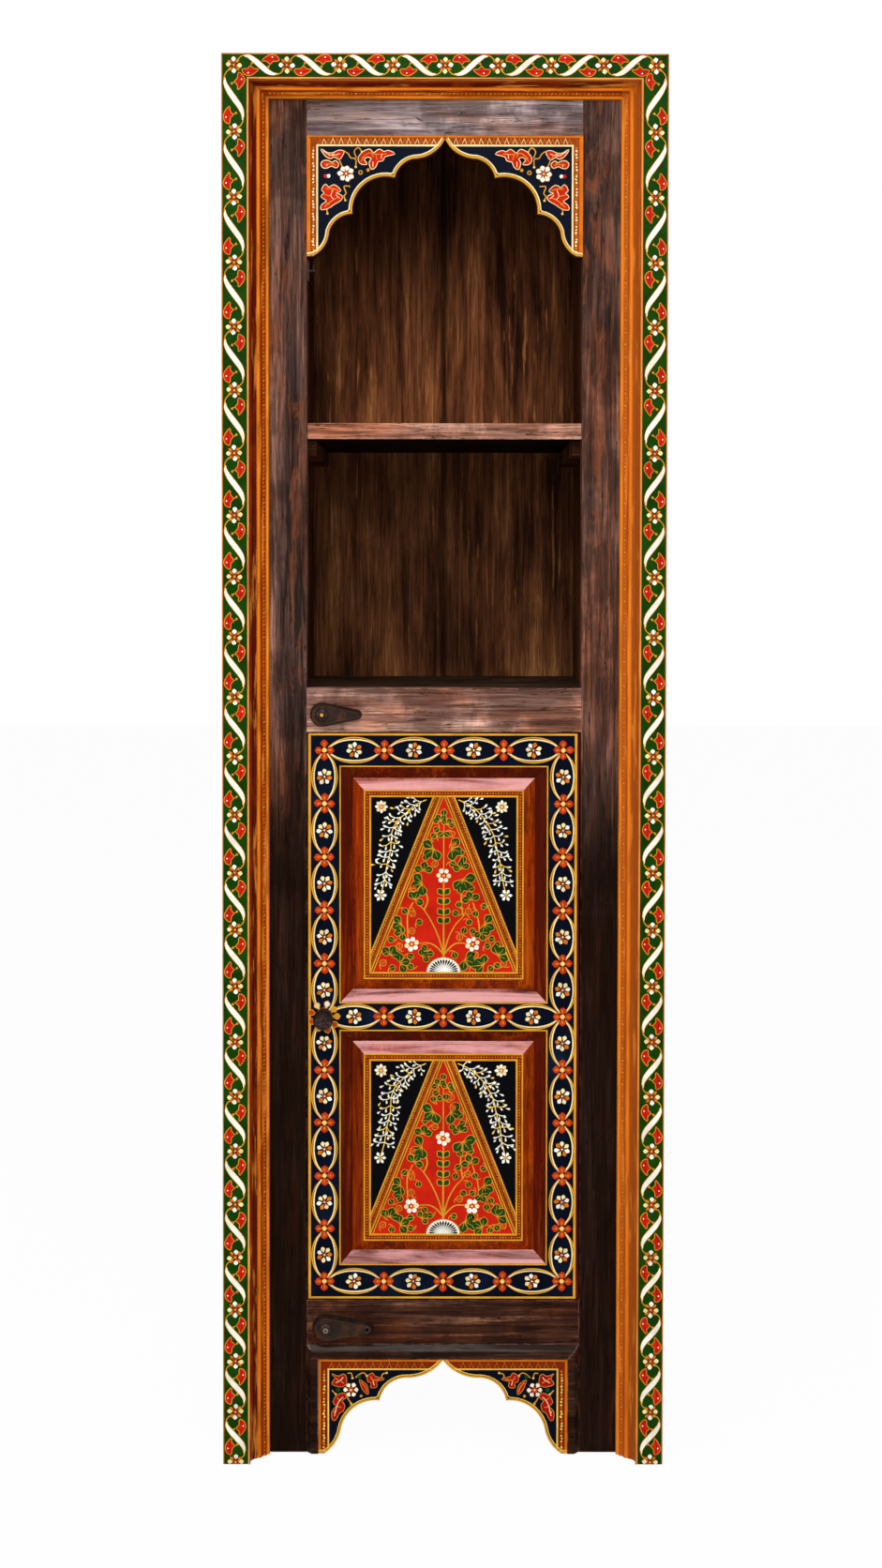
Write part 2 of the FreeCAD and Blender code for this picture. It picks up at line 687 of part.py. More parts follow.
def teardrop(body, reach, radius, tip, offset):
    """Outline of a turn button about its bolt: a round eye, two straight sides and a round tip."""
    middle = value(reach) - value(tip)
    lean = math.acos((value(radius) - value(tip)) / middle)
    sketch = body.newObject("Sketcher::SketchObject", "teardrop")
    plane = next(item for item in body.Origin.OriginFeatures if item.Role == "XZ_Plane")
    sketch.AttachmentSupport = (plane, [""])
    sketch.MapMode = "FlatFace"
    bind(sketch, ".AttachmentOffset.Base.z", offset)
    eye = Part.Circle(Vector(), Vector(0, 0, 1), value(radius))
    end = Part.Circle(Vector(middle, 0, 0), Vector(0, 0, 1), value(tip))
    turn = 2 * math.pi
    sketch.addGeometry(Part.ArcOfCircle(eye, lean, turn - lean))
    sketch.addGeometry(Part.LineSegment(eye.value(-lean), end.value(-lean)))
    sketch.addGeometry(Part.ArcOfCircle(end, turn - lean, turn + lean))
    sketch.addGeometry(Part.LineSegment(end.value(lean), eye.value(lean)))
    for first, second in ((0, 1), (1, 2), (2, 3), (3, 0)):
        sketch.addConstraint(Sketcher.Constraint("Tangent", first, 2, second, 1))
    sketch.addConstraint(Sketcher.Constraint("Coincident", 0, 3, -1, 1))
    sketch.addConstraint(Sketcher.Constraint("PointOnObject", 2, 3, -1))
    row = sketch.addConstraint(Sketcher.Constraint("DistanceX", -1, 1, 2, 3, middle))
    bind(sketch, "Constraints[%d]" % row, "(%s) - (%s)" % (reach, tip))
    for arc, text in ((0, radius), (2, tip)):
        row = sketch.addConstraint(Sketcher.Constraint("Radius", arc, value(text)))
        bind(sketch, "Constraints[%d]" % row, text)
    return sketch


def turn_buttons():
    for name in ("upper", "lower"):
        x, z = name + "_button_x", name + "_button_z"
        reach, radius, tip = (name + "_button_" + word for word in ("reach", "radius", "tip"))
        body = doc.addObject("PartDesign::Body", "teardrop")
        back = teardrop(body, reach, radius, tip, ZERO)
        front = teardrop(body, reach + " - button_bevel", radius + " - button_bevel",
                         tip + " - button_bevel", "button_thickness")
        loft = body.newObject("PartDesign::AdditiveLoft", "bevelled")
        loft.Profile = back
        loft.Sections = [front]
        loft.Ruled = True
        place(body, x, "button_back_y", z)
        eye = rod_through(x, z, "button_front_y - overrun", "button_back_y + overrun",
                          "bolt_radius + bolt_clearance")
        piece("turn_button_" + name, cut(body, [eye]))

        washer = rod_through(x, z, "button_back_y", "face_y", "washer_radius")
        hole = rod_through(x, z, "button_back_y - overrun", "face_y + overrun", "bolt_radius")
        piece("button_washer_" + name, cut(washer, [hole]))
        under = "button_front_y - bolt_head_gap"
        shank = rod_through(x, z, under, "face_y + bolt_depth", "bolt_radius")
        dome = rounded("bolt_head_radius", "bolt_head_height", ZERO, math.pi / 2)
        head = turned(dome + [(ZERO, ZERO)], {}, x, under, z)
        piece("button_bolt_" + name, joined([shank, head]))


def hook():
    plate_xs = ("-opening_half", "hook_plate_thickness - opening_half")
    y = "face_y + hook_setback"
    plate = block(plate_xs, (y, y + " + hook_plate_width"),
                  ("hook_z - hook_plate_height / 2", "hook_z + hook_plate_height / 2"))
    middle_y = y + " + hook_plate_width / 2"
    arm = doc.addObject("Part::Cylinder", "arm")
    arm.Placement = Placement(Vector(), Rotation(Vector(0, 1, 0), QUARTER_TURN))
    bind(arm, "Radius", "hook_radius")
    bind(arm, "Height", "hook_plate_thickness + hook_reach")
    place(arm, "-opening_half", middle_y, "hook_z")
    tip_x = "hook_plate_thickness + hook_reach - hook_radius - opening_half"
    tip = rod_up(tip_x, middle_y, "hook_z", "hook_z + hook_rise", "hook_radius")
    piece("stile_hook", joined([plate, arm, tip]))


architrave()
face_frame()
carcass()
arches()
door()
door_pivots()
knob()
turn_buttons()
hook()
doc.recompute()

for item in doc.Objects:
    if "Invalid" in item.State or "Error" in item.State:
        raise RuntimeError("%s (%s) did not build" % (item.Name, item.Label))
for item in pieces:
    if item.Shape.isNull() or not item.Shape.isValid() or len(item.Shape.Solids) != 1:
        raise RuntimeError("%s is not one valid solid" % item.Label)

os.makedirs("parts", exist_ok=True)
for item in pieces:
    item.Shape.exportStep(os.path.join("parts", item.Label + ".step"))
print("%d sub-parts written" % len(pieces))
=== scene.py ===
import math
import random

import bpy
from mathutils import Euler, Matrix, Vector


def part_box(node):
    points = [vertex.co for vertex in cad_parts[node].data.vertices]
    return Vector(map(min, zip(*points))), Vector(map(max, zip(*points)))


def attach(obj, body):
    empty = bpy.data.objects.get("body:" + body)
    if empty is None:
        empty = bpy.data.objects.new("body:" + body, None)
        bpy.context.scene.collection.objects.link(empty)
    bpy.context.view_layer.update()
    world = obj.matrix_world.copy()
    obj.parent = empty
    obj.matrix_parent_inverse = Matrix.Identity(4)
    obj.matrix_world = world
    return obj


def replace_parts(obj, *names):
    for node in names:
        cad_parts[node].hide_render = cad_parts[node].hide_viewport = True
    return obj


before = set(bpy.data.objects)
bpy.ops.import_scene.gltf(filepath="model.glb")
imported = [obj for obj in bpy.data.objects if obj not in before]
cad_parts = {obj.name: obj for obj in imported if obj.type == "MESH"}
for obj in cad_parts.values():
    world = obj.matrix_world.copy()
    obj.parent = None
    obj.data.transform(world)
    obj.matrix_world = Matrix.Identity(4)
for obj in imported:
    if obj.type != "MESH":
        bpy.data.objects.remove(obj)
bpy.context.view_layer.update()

# Looks of the painted cabinet: a material for every board, and its ornament as thin raised paint.
# Lengths are millimetres in the row frame (front towards -Y); meshes and materials take metres.

MM = 0.001
rng = random.Random(11)


def span(node):
    """(low, high) of a node along X, Y and Z."""
    low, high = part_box(node)
    return [(a / MM, b / MM) for a, b in zip(low, high)]


def middle(node):
    """(x, z) of a node's middle."""
    (x_low, x_high), _, (z_low, z_high) = span(node)
    return (x_low + x_high) / 2, (z_low + z_high) / 2


BOARD = span("architrave_board_right")
HEAD = span("architrave_board_top")
MOULDING_INNER, MOULDING_OUTER = span("architrave_moulding_right")[0]
MOULDING_HEAD_HEIGHT = 20.0
MOULDING_UNDER = span("architrave_moulding_top")[2][1] - MOULDING_HEAD_HEIGHT
BEAD_PROJECTION = 11.55
SHELF_TOP = span("niche_shelf")[2][1]
BACK = span("back_board_left")
DOOR_STILE = span("door_stile_right")
DOOR_TOP = span("door_rail_top")
DOOR_MIDDLE = span("door_rail_middle")
DOOR_BOTTOM = span("door_rail_bottom")
FRONT_Y = BOARD[1][0]
FACE_Y = span("stile_right")[1][0]
TOP_Z = HEAD[2][1]
STICKING = 15.0
PANEL_TONGUE, PANEL_BEVEL = 6.0, 14.6


# Colours, written as they look


def tint(red, green, blue):
    """Colour from 0 to 255 a channel, as the shader wants it."""
    def linear(level):
        level /= 255
        return level / 12.92 if level <= 0.04045 else ((level + 0.055) / 1.055) ** 2.4
    return (linear(red), linear(green), linear(blue), 1.0)


def shade(colour, by):
    return tuple(min(1.0, part * by) for part in colour[:3]) + (1.0,)


PAINTS = {
    "white": tint(248, 242, 228), "cream": tint(246, 222, 162), "gold": tint(216, 152, 42),
    "orange": tint(214, 112, 22), "red": tint(196, 32, 14), "deep_red": tint(132, 18, 10),
    "vermilion": tint(188, 58, 20), "yellow": tint(246, 200, 88), "leaf": tint(26, 67, 18),
    "black": tint(5, 5, 8), "navy": tint(5, 11, 28), "red_brown": tint(120, 38, 8),
    "crimson": tint(166, 22, 18), "amber": tint(152, 66, 12),
}
GREEN = tint(20, 62, 3)
IRON = tint(44, 34, 30)
BRASS = tint(196, 150, 62)
# Pale pink painted highlight for upward slopes of glossy wood, and the share of it that shows
POLISH_HIGHLIGHT, POLISH_HIGHLIGHT_SHARE = tint(212, 120, 116), 0.8
# Factors that redden a colour, and that lighten the stiles' middle height as painted light
RUDDY = (1.0, 0.72, 0.55, 1.0)
LIT_BAND_FACTOR = (1.5, 1.5, 1.5, 1.0)
# Dark, middle and light of each wood
STILE_TONES = tint(32, 22, 18), tint(90, 65, 57), tint(162, 116, 97)
TOP_RAIL_TONES = tint(68, 54, 52), tint(158, 137, 137), tint(232, 211, 209)
MIDDLE_RAIL_TONES = tint(60, 36, 29), tint(156, 112, 97), tint(236, 188, 168)
LOW_RAIL_TONES = tint(33, 16, 11), tint(84, 50, 35), tint(158, 108, 80)
SHELF_TONES = tint(94, 58, 44), tint(212, 152, 128), tint(252, 212, 188)
FLOOR_TONES = tint(31, 21, 15), tint(59, 44, 33), tint(92, 71, 54)
SIDE_TONES = tint(31, 16, 9), tint(76, 44, 24), tint(123, 75, 42)
INNER_TONES = tint(33, 19, 11), tint(83, 48, 27), tint(132, 80, 45)
APRON_TONES = tint(20, 11, 7), tint(46, 28, 19), tint(84, 56, 42)
PANEL_TONES = tint(92, 24, 2), tint(152, 54, 5), tint(196, 88, 12)
UPRIGHT, ACROSS = 2, 0
SPECULAR = 0.03
# Heights in metres between which the stiles turn paler as painted light, then almost black towards the floor
LIT_BAND_FROM, LIT_BAND_TO = 1.50, 1.10
DARK_FOOT_FROM, DARK_FOOT_TO = 1.06, 0.74
# Heights in metres between which the back darkens towards its top, as painted shade under the arch
SHADE_TOP_FROM, SHADE_TOP_TO = 1.50, 1.68


# Materials


class Nodes:
    """Nodes of a material or of the world."""

    def __init__(self, tree):
        self.tree = tree

    def add(self, kind, values=None, **settings):
        """New node; values go to its inputs, which are named or counted."""
        node = self.tree.nodes.new(kind)
        for key, setting in settings.items():
            setattr(node, key, setting)
        for key, value in (values or {}).items():
            self.feed(node.inputs[key], value)
        return node

    def feed(self, socket, value):
        if isinstance(value, bpy.types.NodeSocket):
            self.tree.links.new(value, socket)
        else:
            socket.default_value = value

    def calc(self, operation, *values):
        return self.add("ShaderNodeMath", dict(enumerate(values)), operation=operation).outputs[0]

    def shown(self):
        """1 for rays that show a thing, straight, mirrored or through glass, and 0 for other light."""
        path = self.add("ShaderNodeLightPath").outputs
        bent = self.calc("MAXIMUM", path["Is Glossy Ray"], path["Is Transmission Ray"])
        return self.calc("MAXIMUM", path["Is Camera Ray"], bent)


class Look(Nodes):
    """A material; places are object coordinates in metres."""

    def __init__(self, name):
        self.material = bpy.data.materials.new(name)
        self.material.use_nodes = True
        super().__init__(self.material.node_tree)
        self.shader = self.tree.nodes["Principled BSDF"]
        self.place = self.add("ShaderNodeTexCoord").outputs["Object"]

    def noise(self, scales, detail=4.0, rough=0.55, shift=0.0, bend=0.0):
        """Noise of so many waves per metre, alike every way or along X, Y and Z."""
        if isinstance(scales, float):
            scales = (scales, scales, scales)
        fit = self.add("ShaderNodeMapping", {"Vector": self.place, "Scale": scales,
                                             "Location": (shift, shift, shift)})
        values = {"Vector": fit.outputs[0], "Scale": 1.0, "Detail": detail, "Roughness": rough,
                  "Distortion": bend}
        return self.add("ShaderNodeTexNoise", values).outputs["Fac"]

    def mask(self, fac, low, high):
        """0 up to low and 1 from high, which may be the smaller one."""
        return self.add("ShaderNodeMapRange", {"Value": fac, "From Min": low, "From Max": high},
                        interpolation_type="SMOOTHSTEP").outputs["Result"]

    def patches(self, low, high, *noise):
        """Mask of a noise."""
        return self.mask(self.noise(*noise), low, high)

    def ramp(self, fac, stops):
        node = self.add("ShaderNodeValToRGB", {"Fac": fac})
        elements = node.color_ramp.elements
        while len(elements) < len(stops):
            elements.new(0.5)
        for element, (spot, colour) in zip(elements, stops):
            element.position = spot
            element.color = colour
        return node.outputs["Color"]

    def mix(self, fac, first, second, blend="MIX"):
        node = self.add("ShaderNodeMix", {0: fac, 6: first, 7: second}, data_type="RGBA", blend_type=blend)
        return node.outputs[2]

    def times(self, first, second):
        return self.calc("MULTIPLY", first, second)

    def weigh(self, *terms):
        """Sum of values times their weights."""
        total = 0.0
        for value, weight in terms:
            total = self.calc("MULTIPLY_ADD", value, weight, total)
        return total

    def stain(self, colour, tone, mask, share=1.0, blend="MIX"):
        """Colour that takes on a share of a tone where the mask is 1."""
        return self.mix(self.times(mask, share), colour, tone, blend)

    def axes(self):
        """X, Y and Z of a place."""
        return self.add("ShaderNodeSeparateXYZ", {"Vector": self.place}).outputs

    def edges(self, radius, low=0.02, high=0.25):
        """1 along sharp edges, 0 on flat faces."""
        soft = self.add("ShaderNodeBevel", {"Radius": radius}, samples=6).outputs["Normal"]
        flat = self.add("ShaderNodeNewGeometry").outputs["Normal"]
        alike = self.add("ShaderNodeVectorMath", {0: soft, 1: flat}, operation="DOT_PRODUCT")
        return self.mask(self.calc("SUBTRACT", 1.0, alike.outputs["Value"]), low, high)

    def lie(self):
        """How far a face looks upwards, from -1 to 1."""
        normal = self.add("ShaderNodeNewGeometry").outputs["Normal"]
        return self.add("ShaderNodeSeparateXYZ", {"Vector": normal}).outputs["Z"]

    def behind(self, face_y, start=0.05, end=0.25):
        """1 from a little way behind a painted face."""
        return self.mask(self.axes()[1], (face_y + start) * MM, (face_y + end) * MM)

    def finish(self, colour, rough, height, depth=0.0003, strength=0.5, **sockets):
        self.feed(self.shader.inputs["Base Color"], colour)
        self.feed(self.shader.inputs["Roughness"], rough)
        self.feed(self.shader.inputs["Specular IOR Level"], SPECULAR)
        bump = self.add("ShaderNodeBump", {"Height": height, "Strength": strength, "Distance": depth})
        self.feed(self.shader.inputs["Normal"], bump.outputs["Normal"])
        for key, value in sockets.items():
            self.feed(self.shader.inputs[key.replace("_", " ")], value)
        return self.material


def wood_colour(look, tones, axis, shift=0.0):
    """(colour, height) of weathered wood with its grain along an axis."""
    def grain(across, along, *noise):
        scales = [across] * 3
        scales[axis] = along
        return look.noise(scales, *noise)

    dark = tones[0]
    broad = grain(30.0, 2.6, 4.0, 0.6, shift, 0.8)
    streaks = grain(120.0, 5.5, 6.0, 0.64, shift + 1.7, 0.9)
    fibres = grain(400.0, 18.0, 4.0, 0.68, shift + 3.1, 0.4)
    veins = grain(90.0, 3.6, 4.0, 0.55, shift + 5.3, 1.4)
    figure = look.weigh((broad, 0.45), (streaks, 0.55))
    colour = look.ramp(figure, list(zip((0.37, 0.50, 0.63), tones)))
    colour = look.stain(colour, dark, look.mask(fibres, 0.54, 0.40), 0.5)
    ruddy = look.mask(grain(16.0, 4.0, 4.0, 0.6, shift + 9.9), 0.47, 0.60)
    colour = look.stain(colour, RUDDY, ruddy, 0.9, "MULTIPLY")
    dim = look.patches(0.54, 0.40, (12.0, 12.0, 9.0), 5.0, 0.62, shift + 7.7)
    colour = look.stain(colour, dark, dim, 0.62)
    crack = look.mask(look.calc("ABSOLUTE", look.calc("SUBTRACT", veins, 0.5)), 0.010, 0.002)
    colour = look.stain(colour, shade(dark, 0.25), crack, 0.85)
    return colour, look.weigh((streaks, 0.7), (fibres, 0.4), (crack, -0.4))


def paint_colour(look, colour, shift=0.0, depth=0.72):
    """(colour, height) of brushed paint, thinner in places."""
    cloud = look.noise(34.0, 4.0, 0.6, shift)
    brush = look.noise(260.0, 3.0, 0.6, shift + 1.3)
    body = look.mix(look.mask(cloud, 0.30, 0.70), shade(colour, depth), shade(colour, 1.12))
    body = look.mix(look.mask(brush, 0.62, 0.80), body, shade(colour, depth * 0.7))
    return body, look.weigh((brush, 1.0), (cloud, 0.5))


def gloss_and_highlight(look):
    """Share of gloss on slopes that lie upwards, where a pale pink highlight is painted as well."""
    smears = look.patches(0.30, 0.56, (5.0, 60.0, 60.0), 5.0, 0.65, 1.1, 0.5)
    return look.times(look.mask(look.lie(), 0.08, 0.20), smears)


def polished_with_highlight(look, wood):
    """(colour, coat weight) of glossy wood, with a pale pink highlight painted on its upward slopes."""
    gloss = gloss_and_highlight(look)
    # Painted highlight: pale pink mixed into the wood where its slopes lie upwards
    return look.stain(wood, POLISH_HIGHLIGHT, gloss, POLISH_HIGHLIGHT_SHARE), gloss


def coat_look(name, colour):
    """Ornament paint."""
    look = Look(name)
    body, height = paint_colour(look, colour, shift=len(name) * 0.7, depth=0.8)
    return look.finish(body, 0.38, height, 0.0002, 0.35)


def wood_look(name, tones, axis, shift, rough, worn=None, lit_band_dark_foot=False, shaded_below=False, glossy=False,
              dull=None):
    """Bare stained wood; worn is the colour of its rubbed edges, on the apron frame partly a painted
    highlight, and dull where along X it darkens.
    """
    look = Look(name)
    colour, height = wood_colour(look, tones, axis, shift)
    if lit_band_dark_foot:
        up = look.axes()[2]
        # Painted light: the stiles turn paler below the upper height; towards the floor they darken almost
        # to black
        colour = look.stain(colour, LIT_BAND_FACTOR, look.mask(up, LIT_BAND_FROM, LIT_BAND_TO), 1.0, "MULTIPLY")
        spots = look.patches(0.52, 0.64, (70.0, 70.0, 12.0), 6.0, 0.68, shift + 4.4, 0.8)
        colour = look.stain(colour, tint(136, 74, 44), spots, 0.5)
        colour = look.stain(colour, tint(16, 4, 0), look.mask(up, DARK_FOOT_FROM, DARK_FOOT_TO), 0.94)
    if dull:
        colour = look.stain(colour, tones[0], look.mask(look.axes()[0], *dull), 0.62)
    if worn:
        chips = look.patches(0.44, 0.58, 60.0, 4.0, 0.7, shift)
        colour = look.stain(colour, worn, look.edges(0.0025), chips)
    if shaded_below:
        # Painted shade on faces that look down
        colour = look.stain(colour, tint(20, 11, 7), look.mask(look.lie(), -0.3, -0.8))
    patch = look.noise(18.0, 3.0, 0.6, shift + 2.0)
    gloss = look.add("ShaderNodeMapRange", {"Value": patch, "To Min": rough - 0.12, "To Max": rough + 0.12})
    coat = {"Coat_Weight": look.times(gloss_and_highlight(look), 0.18), "Coat_Roughness": 0.12} if glossy else {}
    return look.finish(colour, gloss.outputs["Result"], height, 0.0009, 0.7, **coat)


def back_look():
    """Rough back boards: broad uneven stain, pale scrapes and a dark joint down the middle, with painted
    shade inside towards the sides, the top and the shelf.
    """
    look = Look("back_wood")
    x, y, z = look.axes()
    off_middle = look.calc("ABSOLUTE", x)
    inside = look.mask(y, sum(BACK[1]) / 2 * MM, BACK[1][0] * MM)
    stain = look.noise((10.0, 10.0, 2.4), 5.0, 0.62, 3.3, 0.6)
    streaks = look.noise((90.0, 90.0, 4.0), 6.0, 0.68, 5.1, 0.6)
    fibres = look.noise((360.0, 360.0, 16.0), 4.0, 0.68, 7.9)
    figure = look.weigh((stain, 0.55), (streaks, 0.45))
    colour = look.ramp(figure, [(0.40, tint(52, 25, 13)), (0.48, tint(124, 73, 44)),
                                (0.56, tint(176, 109, 66)), (0.64, tint(250, 172, 104))])
    colour = look.stain(colour, tint(40, 20, 9), look.mask(fibres, 0.56, 0.42), 0.5)
    scrapes = look.patches(0.62, 0.70, (150.0, 150.0, 9.0), 4.0, 0.6, 11.0)
    colour = look.stain(colour, tint(228, 148, 82), scrapes, 0.6)
    joint = look.mask(look.weigh((off_middle, 1.0), (streaks, 0.004)), 0.0100, 0.0022)
    colour = look.stain(colour, tint(16, 8, 4), joint, 0.75)
    # Painted shade on the inside face: towards both sides, towards the top under the arch, and just under
    # the shelf
    painted_shade = look.mix(0.6, colour, tint(32, 16, 8))
    corners = look.mask(off_middle, 0.115, 0.200)
    shaded_top = look.mask(z, SHADE_TOP_FROM, SHADE_TOP_TO)
    shade_under_shelf = look.times(look.mask(z, (SHELF_TOP + 2.0) * MM, (SHELF_TOP - 2.0) * MM), 0.75)
    for share in (corners, shaded_top, shade_under_shelf):
        colour = look.stain(colour, painted_shade, inside, share)
    return look.finish(colour, 0.6, look.weigh((streaks, 1.0), (fibres, 1.0)), 0.0009, 0.7)


def board_look():
    """Green paint of the wide outer boards, rubbed to brown along the edges."""
    look = Look("green_board")
    colour, height = paint_colour(look, GREEN, 0.4, 0.62)
    rubbed = look.patches(0.36, 0.60, (90.0, 90.0, 40.0), 4.0, 0.7, 5.0)
    colour = look.stain(colour, tint(96, 40, 14), look.edges(0.0022), rubbed)
    return look.finish(colour, 0.36, height, 0.0003, 0.4)


# Steps of the moulding from its inner edge: share of its width where each ends, and its paint; the dark
# hollow and cove steps are partly painted shade
MOULDING_STEPS = (
    (0.17, tint(255, 146, 38)), (0.40, tint(172, 64, 6)), (0.60, tint(250, 134, 26)),
    (0.80, tint(92, 19, 3)), (0.91, tint(148, 47, 8)), (1.0, tint(242, 164, 86)))
# Share of a step's colour left in its corners, which are darkened as painted shade, and the width of the
# line between two steps
CORNER_SHADE = 0.42
STEP_LINE = 0.01


def moulding_look():
    """Painted steps of the architrave moulding, darkened into their corners as painted shade; the right
    length is a little paler, as painted light.
    """
    look = Look("moulding_steps")
    x, _, z = look.axes()

    def share(place, start, width):
        return look.calc("DIVIDE", look.calc("SUBTRACT", place, start * MM), width * MM)

    across = share(look.calc("ABSOLUTE", x), MOULDING_INNER, MOULDING_OUTER - MOULDING_INNER)
    rise = share(z, MOULDING_UNDER, MOULDING_HEAD_HEIGHT)
    head = look.calc("GREATER_THAN", rise, across)

    def streaks(wide, long, shift):
        """Noise drawn out along each length."""
        upright = look.noise((wide, wide, long), 4.0, 0.6, shift)
        level = look.noise((long, wide, wide), 4.0, 0.6, shift)
        return look.calc("MULTIPLY_ADD", head, look.calc("SUBTRACT", level, upright), upright)

    stops = []
    begin = 0.0
    for end, paint in MOULDING_STEPS:
        width = end - begin
        # Painted shade: each step darkens into its corners
        shaded = shade(paint, CORNER_SHADE)
        stops += [(begin, shaded), (begin + 0.4 * width, paint), (begin + 0.7 * width, paint),
                  (end - STEP_LINE, shaded)]
        begin = end
    colour = look.ramp(look.calc("MAXIMUM", across, rise), stops)
    streak = streaks(130.0, 10.0, 2.0)
    colour = look.stain(colour, tint(92, 28, 4), look.mask(streak, 0.48, 0.64), 0.52)
    colour = look.stain(colour, tint(255, 164, 62), look.mask(streaks(150.0, 14.0, 6.0), 0.53, 0.66), 0.5)
    blotch = look.patches(0.50, 0.75, (26.0, 26.0, 12.0), 4.0, 0.6, 4.0)
    colour = look.stain(colour, tint(180, 70, 12), blotch, 0.4)
    # Painted light: the right length is made paler, as where light from the left falls on its slopes
    lit_right_length = look.mask(x, MOULDING_INNER * MM, (MOULDING_INNER + 1.0) * MM)
    colour = look.stain(colour, tint(210, 112, 34), lit_right_length, 0.4)
    return look.finish(colour, 0.34, streak, 0.0004, 0.4)


def door_frame_look():
    """Dark blue paint on the front of the door's frame, with patches of painted sheen; glossy wood on every
    other side, with a pale pink highlight painted on its upward slopes.
    """
    look = Look("door_frame")
    body, height = paint_colour(look, PAINTS["navy"], 0.9, 0.55)
    # Patches of paler blue: a painted sheen on the dark paint
    body = look.mix(look.patches(0.52, 0.80, 16.0, 3.0, 0.5, 8.0), body, tint(14, 28, 48))
    dark = tint(70, 16, 2)
    wood, _ = wood_colour(look, (dark, shade(dark, 1.7), tint(154, 60, 8)), UPRIGHT, 1.0)
    wood, gloss = polished_with_highlight(look, wood)
    colour = look.mix(look.behind(FACE_Y), body, wood)
    return look.finish(colour, 0.4, height, 0.0003, 0.3, Coat_Weight=gloss, Coat_Roughness=0.16)


def spandrel_look(name):
    """Dark blue ground on the front of an arch board, gilt on its cut edge."""
    look = Look(name)
    face_y = span(name + "_left")[1][0]
    body, height = paint_colour(look, PAINTS["navy"], 2.9, 0.55)
    edge, _ = paint_colour(look, tint(150, 96, 26), 5.9, 0.5)
    colour = look.mix(look.behind(face_y), body, edge)
    colour = look.mix(look.behind(face_y, 4.0, 9.0), colour, tint(40, 24, 14))
    return look.finish(colour, 0.4, height, 0.0003, 0.35)


def panel_look():
    """Glossy red-brown wood of the raised door panels, with a pale pink highlight painted on upward slopes.
    """
    look = Look("panel_wood")
    wood, height = wood_colour(look, PANEL_TONES, UPRIGHT, 2.4)
    colour, gloss = polished_with_highlight(look, wood)
    return look.finish(colour, 0.35, height, 0.0003, 0.25, Coat_Weight=gloss, Coat_Roughness=0.14)


def iron_look():
    """Blackened iron, rubbed brown on the edges."""
    look = Look("black_iron")
    pits = look.noise(240.0, 5.0, 0.65, 1.0)
    colour = look.mix(look.patches(0.42, 0.70, 70.0, 4.0, 0.6, 6.0), IRON, tint(74, 48, 34))
    colour = look.mix(look.edges(0.0012, 0.03, 0.3), colour, tint(120, 92, 74))
    return look.finish(colour, 0.42, pits, 0.0004, 0.5, Metallic=0.55)


def bolt_look(name, x, z, rings):
    """Iron bolt; rings give the colour of its head from the middle outwards, as (radius, colour)."""
    look = Look(name)
    place_x, _, place_z = look.axes()
    off_x = look.calc("SUBTRACT", place_x, x * MM)
    off_z = look.calc("SUBTRACT", place_z, z * MM)
    away = look.calc("SQRT", look.weigh((off_x, off_x), (off_z, off_z)))
    pits = look.noise(260.0, 4.0, 0.6, 1.0)
    colour = look.mix(look.mask(pits, 0.4, 0.7), IRON, tint(70, 50, 40))
    for radius, ring in rings[::-1]:
        colour = look.mix(look.mask(away, (radius - 0.4) * MM, (radius + 0.4) * MM), ring, colour)
    return look.finish(colour, 0.36, pits, 0.0003, 0.4, Metallic=0.6)


def knob_look():
    """Dark iron knob with a stippled face, its downward half speckled pale grey as a painted reflection of
    the floor.
    """
    look = Look("knob_iron")
    dots = look.add("ShaderNodeTexVoronoi", {"Vector": look.place, "Scale": 620.0}).outputs["Distance"]
    # Painted reflection: pale grey stipple on the downward half stands for the white floor mirrored in the
    # iron
    floor_reflection = look.times(look.mask(dots, 0.50, 0.20), look.mask(look.lie(), 0.50, -0.30))
    colour = look.stain(shade(IRON, 0.7), tint(136, 112, 114), floor_reflection, 0.75)
    return look.finish(colour, 0.38, dots, 0.0006, 0.6, Metallic=0.5)


IRONWORK = iron_look()
COATS = {name: coat_look("coat_" + name, colour) for name, colour in PAINTS.items()}
IRON_NODES = "stile_hook", "turn_button", "button_washer", "button_bolt", "door_knob", "knob", "pivot"


